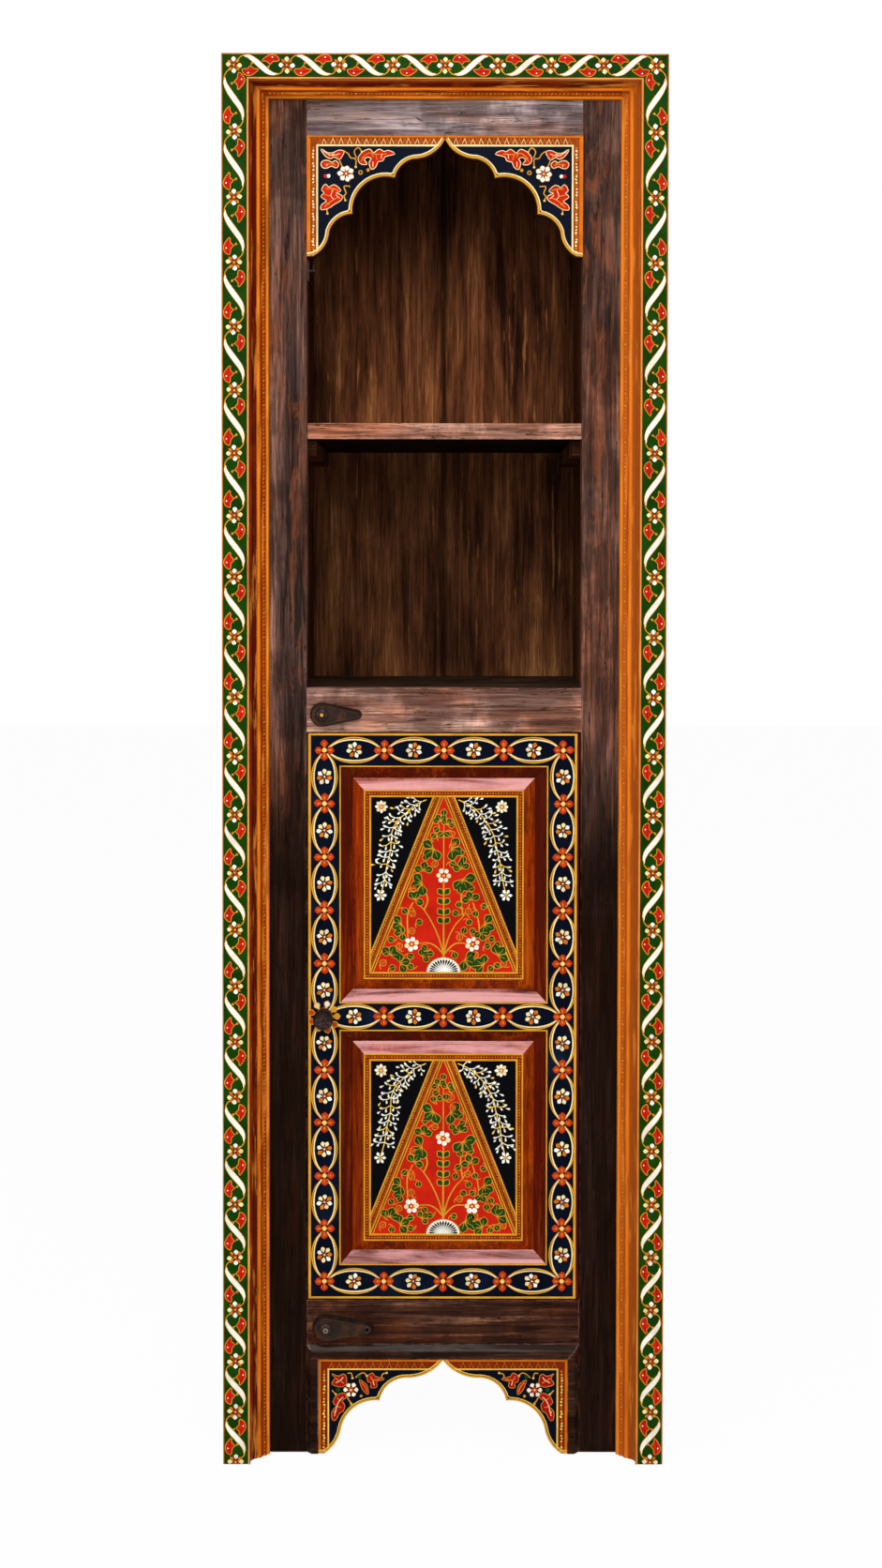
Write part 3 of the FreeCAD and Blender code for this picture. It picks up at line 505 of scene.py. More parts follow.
def dress_frame():
    """Gives every CAD node its material, by the longest start of its name that is listed."""
    inner = wood_look("inner_wood", INNER_TONES, ACROSS, 5.3, 0.6)
    looks = {
        "architrave_board": board_look(), "architrave_moulding": moulding_look(),
        "stile": wood_look("stile_wood", STILE_TONES, UPRIGHT, 0.3, 0.5, tint(150, 102, 80), lit_band_dark_foot=True),
        "rail_top": wood_look("top_rail_wood", TOP_RAIL_TONES, ACROSS, 1.3, 0.5, tint(176, 132, 113),
                              dull=(0.02, -0.18)),
        "rail_middle": wood_look("mid_rail_wood", MIDDLE_RAIL_TONES, ACROSS, 7.3, 0.5, tint(188, 139, 118)),
        "rail_bottom": wood_look("low_rail_wood", LOW_RAIL_TONES, ACROSS, 8.3, 0.5, tint(153, 108, 87)),
        "niche_shelf": wood_look("shelf_wood", SHELF_TONES, ACROSS, 2.3, 0.5, tint(240, 190, 162),
                                 shaded_below=True),
        "niche_floor": wood_look("floor_wood", FLOOR_TONES, ACROSS, 9.3, 0.6),
        "side_panel": wood_look("side_wood", SIDE_TONES, UPRIGHT, 4.3, 0.6),
        # Its pale edge colour is partly wear and partly a painted highlight along the top of its bevel
        "apron_frame": wood_look("apron_wood", APRON_TONES, ACROSS, 6.3, 0.4, tint(176, 143, 132),
                                 glossy=True),
        "back_board": back_look(), "door_panel": panel_look(), "door_stile": door_frame_look(),
        "niche_spandrel": spandrel_look("niche_spandrel"), "apron_spandrel": spandrel_look("apron_spandrel"),
    }
    looks["door_rail"] = looks["door_stile"]
    looks.update(dict.fromkeys(IRON_NODES, IRONWORK))
    for node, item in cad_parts.items():
        starts = [start for start in looks if node.startswith(start) and "cleat" not in node]
        item.data.materials.clear()
        item.data.materials.append(looks[max(starts, key=len)] if starts else inner)


# Raised paint

COAT = 0.11
SINK = 0.05
# Shapes of one coat each lie a hair above the one before, so that no two share a plane
HAIR = 0.003
HAIRS = 25
LEAST_AREA = 0.05


def identity(x, z):
    return x, z


def sides_of(ring):
    return zip(ring, ring[1:] + ring[:1])


def signed_area(ring):
    return sum(a[0] * b[1] - b[0] * a[1] for a, b in sides_of(ring)) / 2


def clip(ring, wall):
    """Part of a ring where nx * x + nz * z is at least d."""
    nx, nz, d = wall
    kept = []
    for a, b in sides_of(ring):
        over_a, over_b = nx * a[0] + nz * a[1] - d, nx * b[0] + nz * b[1] - d
        if over_a >= 0:
            kept.append(a)
        if over_a * over_b < 0:
            t = over_a / (over_a - over_b)
            kept.append((a[0] + (b[0] - a[0]) * t, a[1] + (b[1] - a[1]) * t))
    return kept


def new_piece(name, points, faces):
    """(object, mesh) of points in millimetres."""
    mesh = bpy.data.meshes.new(name)
    mesh.from_pydata([Vector(point) * MM for point in points], [], faces)
    piece = bpy.data.objects.new(name, mesh)
    bpy.context.scene.collection.objects.link(piece)
    return piece, mesh


class Paint:
    """Painted shapes on one face that looks towards -Y, gathered into one piece."""

    def __init__(self, face_y, walls=()):
        self.face_y = face_y
        self.walls = list(walls)
        self.put = identity
        self.points, self.faces, self.coats, self.palette = [], [], [], []
        self.shapes = 0

    def add(self, ring, level, coat):
        """Flat shape inside a ring."""
        ring = [self.put(a, b) for a, b in ring]
        for wall in self.walls:
            ring = clip(ring, wall)
        if len(ring) < 3 or abs(signed_area(ring)) < LEAST_AREA:
            return
        if signed_area(ring) < 0:
            ring = ring[::-1]
        self.lift(ring, [list(range(len(ring)))], level, coat)

    def line(self, path, level, coat):
        """Ribbon along points (a, b, width)."""
        left, right = banks(path)
        if self.walls:
            self.add(left + right[::-1], level, coat)
            return
        left, right = ([self.put(a, b) for a, b in bank] for bank in (left, right))
        if signed_area(left + right[::-1]) < 0:
            left, right = right, left
        last = 2 * len(path) - 1
        quads = [[k, k + 1, last - k - 1, last - k] for k in range(len(path) - 1)]
        self.lift(left + right[::-1], quads, level, coat)

    def lift(self, ring, fronts, level, coat):
        """Raises a shape off the face; fronts are its faces as places in the ring."""
        if coat not in self.palette:
            self.palette.append(coat)
        start, count = len(self.points), len(ring)
        self.shapes += 1
        front = self.face_y - COAT * level - HAIR * (self.shapes % HAIRS)
        back = self.face_y + SINK
        self.points += [(x, front, z) for x, z in ring] + [(x, back, z) for x, z in ring]
        faces = fronts + [[count + index for index in face[::-1]] for face in fronts]
        for index in range(count):
            following = (index + 1) % count
            faces.append([following, index, index + count, following + count])
        self.faces += [[start + index for index in face] for face in faces]
        self.coats += [self.palette.index(coat)] * len(faces)

    def done(self, name, body):
        piece, mesh = new_piece(name, self.points, self.faces)
        for coat in self.palette:
            mesh.materials.append(COATS[coat])
        mesh.polygons.foreach_set("material_index", self.coats)
        mesh.update()
        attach(piece, body)


def lane(x, z, along, across):
    """Places (a, b) from a start point, a along one direction and b along another."""
    def put(a, b):
        return x + a * along[0] + b * across[0], z + a * along[1] + b * across[1]
    return put


def wander(amount):
    return rng.uniform(-amount, amount)


def turns(count):
    return [2 * math.pi * k / count for k in range(count)]


def polar(x, z, angle, reach):
    return x + reach * math.cos(angle), z + reach * math.sin(angle)


def disc(x, z, radius, sides=9):
    return [polar(x, z, angle, radius) for angle in turns(sides)]


def bar(a0, b0, a1, b1):
    return [(a0, b0), (a1, b0), (a1, b1), (a0, b1)]


def petal(x, z, angle, start, length, width, belly=0.62, steps=5):
    """Leaf shape pointing away from (x, z); belly is where it is widest."""
    power = math.log(0.5) / math.log(belly)
    cos, sin = math.cos(angle), math.sin(angle)
    sides = ([], [])
    for k in range(steps + 1):
        t = k / steps
        half = width / 2 * math.sin(math.pi * t ** power)
        for side, sign in zip(sides, (1, -1)):
            a, b = start + length * t, half * sign
            side.append((x + a * cos - b * sin, z + a * sin + b * cos))
    return sides[1] + sides[0][-2:0:-1]


def smooth(points, steps=4, closed=False):
    """Points of a smooth curve through the given ones."""
    count = len(points)
    path = []
    for k in range(count if closed else count - 1):
        near = range(k - 1, k + 3)
        near = [j % count if closed else min(max(j, 0), count - 1) for j in near]
        corners = list(zip(*(points[j] for j in near)))
        for step in range(steps):
            t = step / steps
            path.append(tuple(0.5 * (2 * b + (c - a) * t + (2 * a - 5 * b + 4 * c - d) * t * t
                                     + (3 * b - a - 3 * c + d) * t ** 3)
                              for a, b, c, d in corners))
    return path if closed else path + [points[-1]]


def banks(path):
    """Both sides of a ribbon along points (a, b, width)."""
    left, right = [], []
    for k, (a, b, width) in enumerate(path):
        before, after = path[max(k - 1, 0)], path[min(k + 1, len(path) - 1)]
        run = Vector((after[0] - before[0], after[1] - before[1]))
        side = Vector((-run.y, run.x)).normalized() * (width / 2)
        left.append((a + side.x, b + side.y))
        right.append((a - side.x, b - side.y))
    return left, right


def tendril(points, width):
    """Smooth path of one width through points."""
    return smooth([(a, b, width) for a, b in points])


def swell(ring, by):
    """Ring grown outwards."""
    sign = 1 if signed_area(ring) > 0 else -1
    grown = []
    for a, b, c in zip(ring[-1:] + ring[:-1], ring, ring[1:] + ring[:1]):
        run = Vector((c[0] - a[0], c[1] - a[1]))
        out = Vector((run.y, -run.x)).normalized() * (by * sign)
        grown.append((b[0] + out.x, b[1] + out.y))
    return grown


def rimmed(paint, ring, level, coat, rim="gold", by=1.0):
    """Shape with a rim of another coat below it."""
    paint.add(swell(ring, by), level, rim)
    paint.add(ring, level + 1, coat)


def blossom(paint, x, z, petals, start, length, width, coats, heart, turn=0.0, rim=None, level=3):
    """Flower of petals round a heart; coats alternate."""
    for k, angle in enumerate(turns(petals)):
        angle = turn + angle + wander(0.07)
        ring = petal(x, z, angle, start, length * (1 + wander(0.08)), width)
        if rim:
            rimmed(paint, ring, level - 1, coats[k % len(coats)], rim, 0.45)
        else:
            paint.add(ring, level, coats[k % len(coats)])
    for radius, coat in heart:
        level += 1
        paint.add(disc(x, z, radius), level, coat)


# Flower vine of the outer boards

VINE_PITCH, VINE_CLOSING = 83.7, 0.394
VINE_FLOWERS = 25
TOP_INTERVALS = 8
FLOOR_GAP = 0.3
EDGE_LINE = 0.4, 1.4
VINE_LEAF = ((10, 6.2), (12.5, 10.8), (18, 13), (24, 11.2), (31, 5.6), (25.5, 5.2), (21, 1.6), (17.5, 4.6),
             (13, 5.2))
VINE_LEAF_VEIN = (12, 7), (19, 8.6), (27, 6.8)
VINE_LEAF_STEM = (21, 2.2), (21.6, -0.6), (23, -2.2)
VINE_LEAF_SPOT, VINE_LEAF_BUD = (18, 9.8), (23.2, -2.6)
# Share of the interval, distance to the side and width of the ribbon; the tendrils have no width here
VINE_RIBBON = ((0.19, -11.4, 0.6), (0.28, -10.8, 3.6), (0.40, -5.6, 5.8), (0.52, 1.4, 6.2), (0.64, 8.2, 5.4),
               (0.75, 11.2, 2.8), (0.83, 10.8, 0.6))
VINE_TENDRILS = (((0.05, -3.5), (0.09, -8.0), (0.15, -11.4), (0.22, -12.4)),
                 ((0.78, 12.2), (0.86, 11.0), (0.92, 7.6), (0.96, 3.5)))


def vine_flower(paint):
    for angle in turns(4):
        angle = math.pi / 4 + angle + wander(0.12)
        paint.add(petal(0, 0, angle, 0.5, 9.4, 3.8, 0.6), 2, "orange")
    for k, angle in enumerate(turns(4)):
        angle += wander(0.15)
        paint.add(petal(0, 0, angle, 3.5, 6.9 + wander(0.6), 5.9, 0.58, 6), 3, "cream" if k % 2 else "white")
        paint.add(petal(0, 0, angle + math.pi / 4, 1.2, 4.6, 1.7), 3, "deep_red")
    paint.add(disc(0, 0, 2.4), 4, "vermilion")
    paint.add(disc(0, 0, 1.0, 6), 5, "yellow")


def vine_leaf(paint, put):
    """Winged red leaf beside a flower; put maps it to its end of the interval."""
    ring = [put(a + wander(0.4), b + wander(0.3)) for a, b in VINE_LEAF]
    rimmed(paint, smooth(ring, 3, closed=True), 2, "red", by=0.9)
    paint.line(tendril([put(*spot) for spot in VINE_LEAF_VEIN], 0.8), 4, "deep_red")
    paint.add(disc(*put(*VINE_LEAF_SPOT), 1.0, 6), 5, "white")
    paint.line(tendril([put(*spot) for spot in VINE_LEAF_STEM], 0.9), 2, "gold")
    paint.add(disc(*put(*VINE_LEAF_BUD), 1.6, 7), 3, "gold")
    paint.add(disc(*put(*VINE_LEAF_BUD), 0.8, 6), 4, "orange")


def vine_interval(paint, pitch):
    """White ribbon, two leaves and gold tendrils from one flower to the next."""
    path = smooth([(share * pitch, b, width) for share, b, width in VINE_RIBBON])
    paint.line([(a, b, width + min(1.3, width)) for a, b, width in path], 1, "gold")
    paint.line(path, 2, "white")
    for points in VINE_TENDRILS:
        paint.line(tendril([(share * pitch, b) for share, b in points], 1.2), 2, "gold")
    vine_leaf(paint, identity)
    vine_leaf(paint, lambda a, b: (pitch - a, -b))


def vine(paint, put_from, stations, flowers):
    """Flowers at those stations that are counted, and ribbons between all of them."""
    for k, station in enumerate(stations):
        paint.put = put_from(station)
        if k in flowers:
            vine_flower(paint)
        if k + 1 < len(stations):
            vine_interval(paint, stations[k + 1] - station)
    paint.put = identity


def outer_boards():
    middle_x, outer = sum(BOARD[0]) / 2, BOARD[0][1]
    middle_z = sum(HEAD[2]) / 2
    near, far = EDGE_LINE
    stations = [VINE_PITCH * k - VINE_CLOSING * k * k for k in range(VINE_FLOWERS)]
    for name, side in (("left", -1), ("right", 1)):
        paint = Paint(FRONT_Y, [(0, 1, FLOOR_GAP)])
        vine(paint, lambda s: lane(side * middle_x, middle_z - s, (0, -1), (-side, 0)), stations,
             range(VINE_FLOWERS))
        paint.add(bar(side * (outer - near), FLOOR_GAP, side * (outer - far), TOP_Z - near), 1, "orange")
        paint.done("vine_" + name, "cabinet")
    paint = Paint(FRONT_Y)
    half = [2 * middle_x / TOP_INTERVALS * k for k in range(TOP_INTERVALS // 2 + 1)]
    vine(paint, lambda s: lane(-middle_x + s, middle_z, (1, 0), (0, -1)), half, range(1, len(half)))
    vine(paint, lambda s: lane(middle_x - s, middle_z, (-1, 0), (0, -1)), half, range(1, len(half) - 1))
    paint.add(bar(2 - outer, TOP_Z - far, outer - 2, TOP_Z - near), 1, "orange")
    paint.done("vine_top", "cabinet")


def moulding_beads():
    """Row of gold beads along the sunk band of the moulding."""
    paint = Paint(FACE_Y - BEAD_PROJECTION)
    pitch, share = 5.2, 0.25

    def bead(k, x, z, angle):
        ring = petal(x, z, angle, -1.4, 3.4 + wander(0.8), 1.7, 0.5, 3)
        paint.add(ring, 7, "orange" if k % 3 else "gold")

    for side in (-1, 1):
        x = side * (MOULDING_INNER + share * (MOULDING_OUTER - MOULDING_INNER))
        for k in range(int(MOULDING_UNDER / pitch)):
            bead(k, x, k * pitch + 2, math.pi / 2 + side * 0.5)
    for k in range(int(2 * MOULDING_INNER / pitch)):
        bead(k, -MOULDING_INNER + k * pitch + 2, MOULDING_UNDER + share * MOULDING_HEAD_HEIGHT, 0.5)
    paint.done("moulding_beads", "cabinet")


# Chains of ovals on the door frame

# Half an oval, in shares of its length and of its rise
OVAL = (0.07, 0.22), (0.2, 0.68), (0.35, 0.93), (0.5, 1.0), (0.65, 0.93), (0.8, 0.68), (0.93, 0.22)
STILE_OVALS, RAIL_OVALS = 10, 4
KNOB_WREATH = "gold", "gold", "white", "cream", "vermilion", "vermilion", "gold", "vermilion", "vermilion"


def chain(paint, put, length, ovals, end_flowers=True):
    pitch = length / ovals
    for k in range(ovals + 1):
        paint.put = lambda a, b: put(a + k * pitch, b)
        if k < ovals:
            for side in (-1, 1):
                for rise, level, coat in ((16.2, 1, "gold"), (13.6, 2, "cream")):
                    points = [(share * pitch, side * rise * bulge) for share, bulge in OVAL]
                    paint.line(tendril(points, 1.7), level, coat)
            paint.put = lambda a, b: put(a + (k + 0.5) * pitch, b)
            blossom(paint, 0, 0, 7, 2.8, 7.6, 5.6, ("cream", "orange", "white", "cream"),
                    ((2.9, "deep_red"), (1.2, "cream")), wander(0.5))
        paint.put = lambda a, b: put(a + k * pitch, b)
        if end_flowers or 0 < k < ovals:
            blossom(paint, 0, 0, 4, 1.0, 12.0, 9.6, ("vermilion",), ((3.0, "yellow"), (1.6, "cream")),
                    rim="deep_red", level=5)
            for angle in turns(4):
                paint.add(petal(0, 0, angle, 4.0, 6.0, 3.0), 6, "orange")
    paint.put = identity


def door_frame():
    paint = Paint(FACE_Y)
    half = DOOR_STILE[0][1]
    inner = DOOR_STILE[0][0] + STICKING
    middle_x = (half + inner) / 2
    low, high = DOOR_STILE[2]
    openings = ((DOOR_BOTTOM[2][1] - STICKING, DOOR_MIDDLE[2][0] + STICKING),
                (DOOR_MIDDLE[2][1] - STICKING, DOOR_TOP[2][0] + STICKING))
    top_z = (high + openings[1][1]) / 2
    foot_z = (low + openings[0][0]) / 2
    lock_z = (openings[0][1] + openings[1][0]) / 2
    for side in (-1, 1):
        chain(paint, lane(side * middle_x, top_z, (0, -1), (side, 0)), top_z - foot_z, STILE_OVALS)
    for z in (top_z, lock_z, foot_z):
        chain(paint, lane(-middle_x, z, (1, 0), (0, 1)), 2 * middle_x, RAIL_OVALS, end_flowers=False)
    for angle, coat in zip(turns(len(KNOB_WREATH)), KNOB_WREATH):
        ring = petal(*middle("door_knob"), angle + wander(0.12), 11.0, 9.6 + wander(1.2), 7.0, 0.66)
        rimmed(paint, ring, 7, coat)
    edge, line, gap, hinge_gap, hair = 3.2, 1.8, 0.4, 3.2, 0.2
    low, high = low + gap, high - gap
    for side in (-1, 1):
        outer = half - (hinge_gap if side > 0 else gap)
        paint.add(bar(side * outer, low, side * (outer - edge), high), 3, "gold")
        for foot, top in openings:
            paint.add(bar(side * (inner + hair), foot - line, side * (inner + line), top + line), 3, "gold")
    for z, direction in ((low, 1), (high, -1)):
        paint.add(bar(edge - half, z, half - hinge_gap - edge, z + direction * edge * 0.8), 3, "gold")
    for foot, top in openings:
        paint.add(bar(-inner, foot - line, inner, foot - hair), 3, "gold")
        paint.add(bar(-inner, top + hair, inner, top + line), 3, "gold")
    paint.done("door_chain", "door")


# Painted fields of the door panels

# Places are thousandths of the field's half width, and of its height from the foot.
# A spray has its turn in degrees and its size besides.
SPRAYS = ((-300, 505, 200, 1.30), (-280, 575, 80, 1.00), (-130, 705, 215, 1.35), (100, 705, -20, 1.30),
          (260, 535, -60, 1.40), (240, 590, 100, 0.90), (-50, 860, 110, 0.80), (50, 845, 60, 0.75),
          (-580, 275, 200, 1.10), (-570, 230, 190, 0.90), (560, 275, -20, 1.20), (530, 225, -70, 0.90),
          (-400, 410, 60, 1.00), (380, 410, 110, 1.00), (-740, 95, 70, 1.10), (-600, 50, 20, 1.10),
          (290, 75, -30, 1.25), (740, 95, 40, 1.20), (550, 40, 150, 1.10), (-300, 85, 30, 0.80))
ROUND_LEAVES = (
    (-420, 480), (380, 480), (230, 465), (-250, 655), (-120, 620), (120, 620), (270, 640), (240, 685),
    (140, 732), (-140, 780), (-50, 786), (40, 790), (110, 790), (-100, 815), (0, 910), (-540, 352),
    (-430, 335), (-340, 286), (210, 386), (170, 336), (340, 346), (440, 335), (550, 376), (350, 286),
    (220, 202), (400, 235), (280, 235), (-800, 110), (-840, 50), (-710, 24), (-460, 92), (-450, 30),
    (-610, 147), (-260, 137), (-180, 106), (150, 100), (440, 100), (420, 34), (650, 20), (740, 36),
    (830, 46), (740, 156), (600, 150), (-720, 185), (-440, 235), (660, 190))
BOUGHS = (
    ((0, 100), (-70, 200), (-170, 290), (-270, 355), (-360, 395)),
    ((0, 100), (70, 200), (170, 275), (270, 320), (360, 390)),
    ((0, 100), (-100, 145), (-200, 165), (-330, 165)), ((0, 100), (100, 145), (180, 165), (300, 165)),
    ((-490, 200), (-500, 280), (-490, 340), (-420, 400)), ((500, 210), (480, 290), (440, 350), (400, 400)),
    ((-270, 355), (-220, 410), (-260, 470), (-300, 505)), ((270, 320), (240, 400), (250, 470), (260, 535)))
# The stem has its height and width
STEM = (80, 3.0), (200, 2.2), (360, 1.5), (620, 1.4), (780, 1.2), (900, 0.7)
STEM_PAIRS = 273, 323, 383, 438
FIELD_FLOWERS = (0, 552), (-440, 160), (400, 160)
WHITE_STEMS = (
    ((-240, 985), (-400, 955), (-530, 905), (-650, 860), (-720, 790), (-730, 700), (-780, 620), (-810, 530),
     (-870, 440)),
    ((200, 985), (360, 955), (500, 905), (600, 850), (690, 780), (730, 700), (780, 620), (810, 530),
     (860, 440)))
WHITE_FLOWERS = (-860, 945), (800, 945)
ROUND_STEPS = 8
TRIANGLE_SHARE = 0.96
SHELL_RADIUS, SHELL_RAYS, SHELL_RISE = 21.5, 15, 0.86


def spray(paint, x, z, turn, size):
    """Broad green leaves that fan out from one point."""
    for spread in (-1.25, 0.0, 1.25):
        angle = turn + spread + wander(0.2)
        ring = petal(x, z, angle, 0.8 * size, 12.0 * size, 9.0 * size, 0.6, ROUND_STEPS)
        rimmed(paint, ring, 3, "leaf", by=0.8)
        tip = (x + 9.6 * size * math.cos(angle + wander(0.1)), z + 9.6 * size * math.sin(angle))
        paint.line([(*ring[0], 0.8), (*tip, 0.3)], 5, "gold")


def ring_flower(paint, x, z, petals, reach, radius, level, heart):
    """Round petals set in a ring."""
    turn = wander(0.4)
    paint.add(disc(x, z, reach, 12), level, heart)
    for k, angle in enumerate(turns(petals)):
        spot = polar(x, z, turn + angle, reach)
        paint.add(disc(*spot, radius * (1 + wander(0.12)), 9), level + 1, "white" if k % 3 else "cream")
    paint.add(disc(x, z, radius * 0.5, 7), level + 2, "yellow")


def round_leaf(paint, x, z, coat):
    """Leaf on a short bent stalk."""
    angle = wander(math.pi)
    ring = petal(x, z, angle, -4.6, 9.2 + wander(1.0), 7.6, 0.55, ROUND_STEPS)
    stalk = [polar(x, z, angle + bend, -reach) for reach, bend in ((3.4, 0.0), (6.0, 0.25), (8.2, 0.7))]
    paint.line(tendril(stalk, 0.9), 3, "gold")
    rimmed(paint, ring, 3, coat, by=0.8)
    paint.line(tendril([ring[0], (x, z), ring[ROUND_STEPS]], 0.55), 5, "gold")


def red_tree(paint, at):
    """Stem, boughs, leaves and flowers that fill the red triangle."""
    paint.line([(*at(0, up), width) for up, width in STEM], 3, "gold")
    for bough in BOUGHS:
        path = smooth([(*at(*spot), 1.9 - 0.2 * k) for k, spot in enumerate(bough)])
        paint.line(path, 3, "gold")
    for up in STEM_PAIRS:
        for side in (-1, 1):
            rimmed(paint, petal(*at(0, up), math.radians(90 - 40 * side), 1.6, 9.6, 6.8, 0.55), 3, "leaf")
    for a, b, turn, size in SPRAYS:
        x, z = at(a, b)
        spray(paint, x + wander(0.8), z + wander(0.8), math.radians(turn), size * 0.96)
    for k, spot in enumerate(ROUND_LEAVES):
        round_leaf(paint, *at(*spot), "leaf" if k % 4 else "vermilion")
    for spot in FIELD_FLOWERS:
        ring_flower(paint, *at(*spot), 6, 6.6, 3.2, 5, "vermilion")


def shell(paint, foot, radius):
    """White half-round shell with dark rays at the foot of the triangle."""
    def raised(ring):
        return [(a, foot + SHELL_RISE * b) for a, b in ring]

    def half_disc(reach):
        return raised(disc(0, 0, reach, 40)[:21])

    paint.add(half_disc(radius * 1.06), 5, "orange")
    paint.add(half_disc(radius), 6, "white")
    for k in range(SHELL_RAYS):
        angle = (k + 0.5) * math.pi / SHELL_RAYS
        ray = petal(0, 0, angle, radius * 0.30, radius * 0.64, radius * 0.13, 0.74, 4)
        paint.add(raised(ray), 7, "black")


def white_sprig(paint, points):
    """Yellow stem with white leaflets on both sides and a flower at its end."""
    path = smooth([(a, b, 1.2) for a, b in points], 2)
    paint.line(path, 3, "yellow")
    for k in range(1, len(path) - 2):
        a, b, _ = path[k]
        run = math.atan2(path[k + 1][1] - path[k - 1][1], path[k + 1][0] - path[k - 1][0])
        for side in (-1, 1):
            angle = run + side * (0.95 + wander(0.35))
            reach = (8.5 if side * a < 0 else 13.5) + wander(2.5)
            twig = [(a, b), polar(a, b, angle, 0.5 * reach), polar(a, b, angle + 0.3 * side, reach)]
            paint.line(tendril(twig, 1.0), 4, "white" if k % 3 else "yellow")
            for share, lean in ((0.45, -0.9), (0.75, 0.9), (1.0, -0.2)):
                turn = angle + lean * side + wander(0.35)
                ring = petal(*polar(a, b, angle, reach * share), turn, 0, 6.4 + wander(1.4), 2.6, 0.70)
                paint.add(ring, 5, "white" if share < 1.0 or k % 4 else "yellow")
    blossom(paint, *path[-1][:2], 6, 1.4, 6.6, 4.0, ("white",), ((2.2, "gold"),), level=5)


def dotted_band(paint, start, end, width, level, ground, dots, pitch, radius):
    """Straight band with a row of dots down its middle."""
    run = Vector((end[0] - start[0], end[1] - start[1]))
    paint.line([(*start, width), (*end, width)], level, ground)
    count = int(run.length / pitch)
    for k in range(count):
        t = (k + 0.5) / count
        dot = disc(start[0] + run.x * t, start[1] + run.y * t, radius * (1 + wander(0.25)), 6)
        paint.add(dot, level + 1, dots)


def field_border(paint, half, foot, top):
    """Gold line, dotted band and gold line round the field."""
    outer, band, inner = 1.8, 5.2, 2.4
    centre, edge = outer + band / 2, outer + band
    runs = [((outer - half, z), (half - outer, z)) for z in (foot + centre, top - centre)]
    runs += [((x, foot + edge), (x, top - edge)) for x in (centre - half, half - centre)]
    for start, end in runs:
        dotted_band(paint, start, end, band, 1, "red_brown", "orange", 3.6, 1.1)
    for low, high in ((0.0, outer), (edge, edge + inner)):
        for side in (-1, 1):
            paint.add(bar(side * (half - low), foot + low, side * (half - high), top - low), 3, "gold")
        paint.add(bar(low - half, foot + low, half - low, foot + high), 3, "gold")
        paint.add(bar(low - half, top - low, half - low, top - high), 3, "gold")
    return edge + inner


def triangle(paint, base, foot, height):
    """Red triangle with lined and dotted bands up its slopes."""
    paint.add([(-base, foot), (base, foot), (0, foot + height)], 2, "red")
    slope = Vector((base, height)).normalized()
    for side in (-1, 1):
        def beside(t, by):
            return side * (-base + base * t - slope.y * by), foot + height * t + slope.x * by
        for by, width, level, coat in ((1.0, 1.4, 3, "gold"), (4.0, 1.5, 3, "gold"), (12.6, 1.9, 3, "gold"),
                                       (2.5, 1.8, 2, "deep_red")):
            paint.line([(*beside(-0.3, by), width), (*beside(1.3, by), width)], level, coat)
        for by, *band in ((8.2, 7.4, 1, "amber", "red_brown", 4.2, 1.5),
                          (9.9, 0.8, 1.2, "amber", "yellow", 3.1, 0.6)):
            dotted_band(paint, beside(-0.3, by), beside(1.3, by), *band)


def door_panel(name):
    (_, half), (face, _), (foot, top) = span(name)
    margin = PANEL_TONGUE + PANEL_BEVEL
    half, foot, top = half - margin, foot + margin, top - margin
    paint = Paint(face)
    paint.add(bar(-half + 1, foot + 1, half - 1, top - 1), 0.5, "black")
    inset = field_border(paint, half, foot, top)
    half, foot, top = half - inset, foot + inset, top - inset
    paint.walls = [(1, 0, -half), (-1, 0, -half), (0, 1, foot), (0, -1, -top)]
    height = top - foot

    def at(a, b):
        return a / 1000 * half, foot + b / 1000 * height

    triangle(paint, TRIANGLE_SHARE * half, foot, height)
    for points in WHITE_STEMS:
        white_sprig(paint, [at(*spot) for spot in points])
    for spot in WHITE_FLOWERS:
        blossom(paint, *at(*spot), 8, 1.6, 6.8, 4.2, ("white", "cream"), ((3.0, "orange"), (1.2, "cream")),
                level=5)
    red_tree(paint, at)
    shell(paint, foot, SHELL_RADIUS)
    paint.done(name + "_paint", "door")


# Arch boards

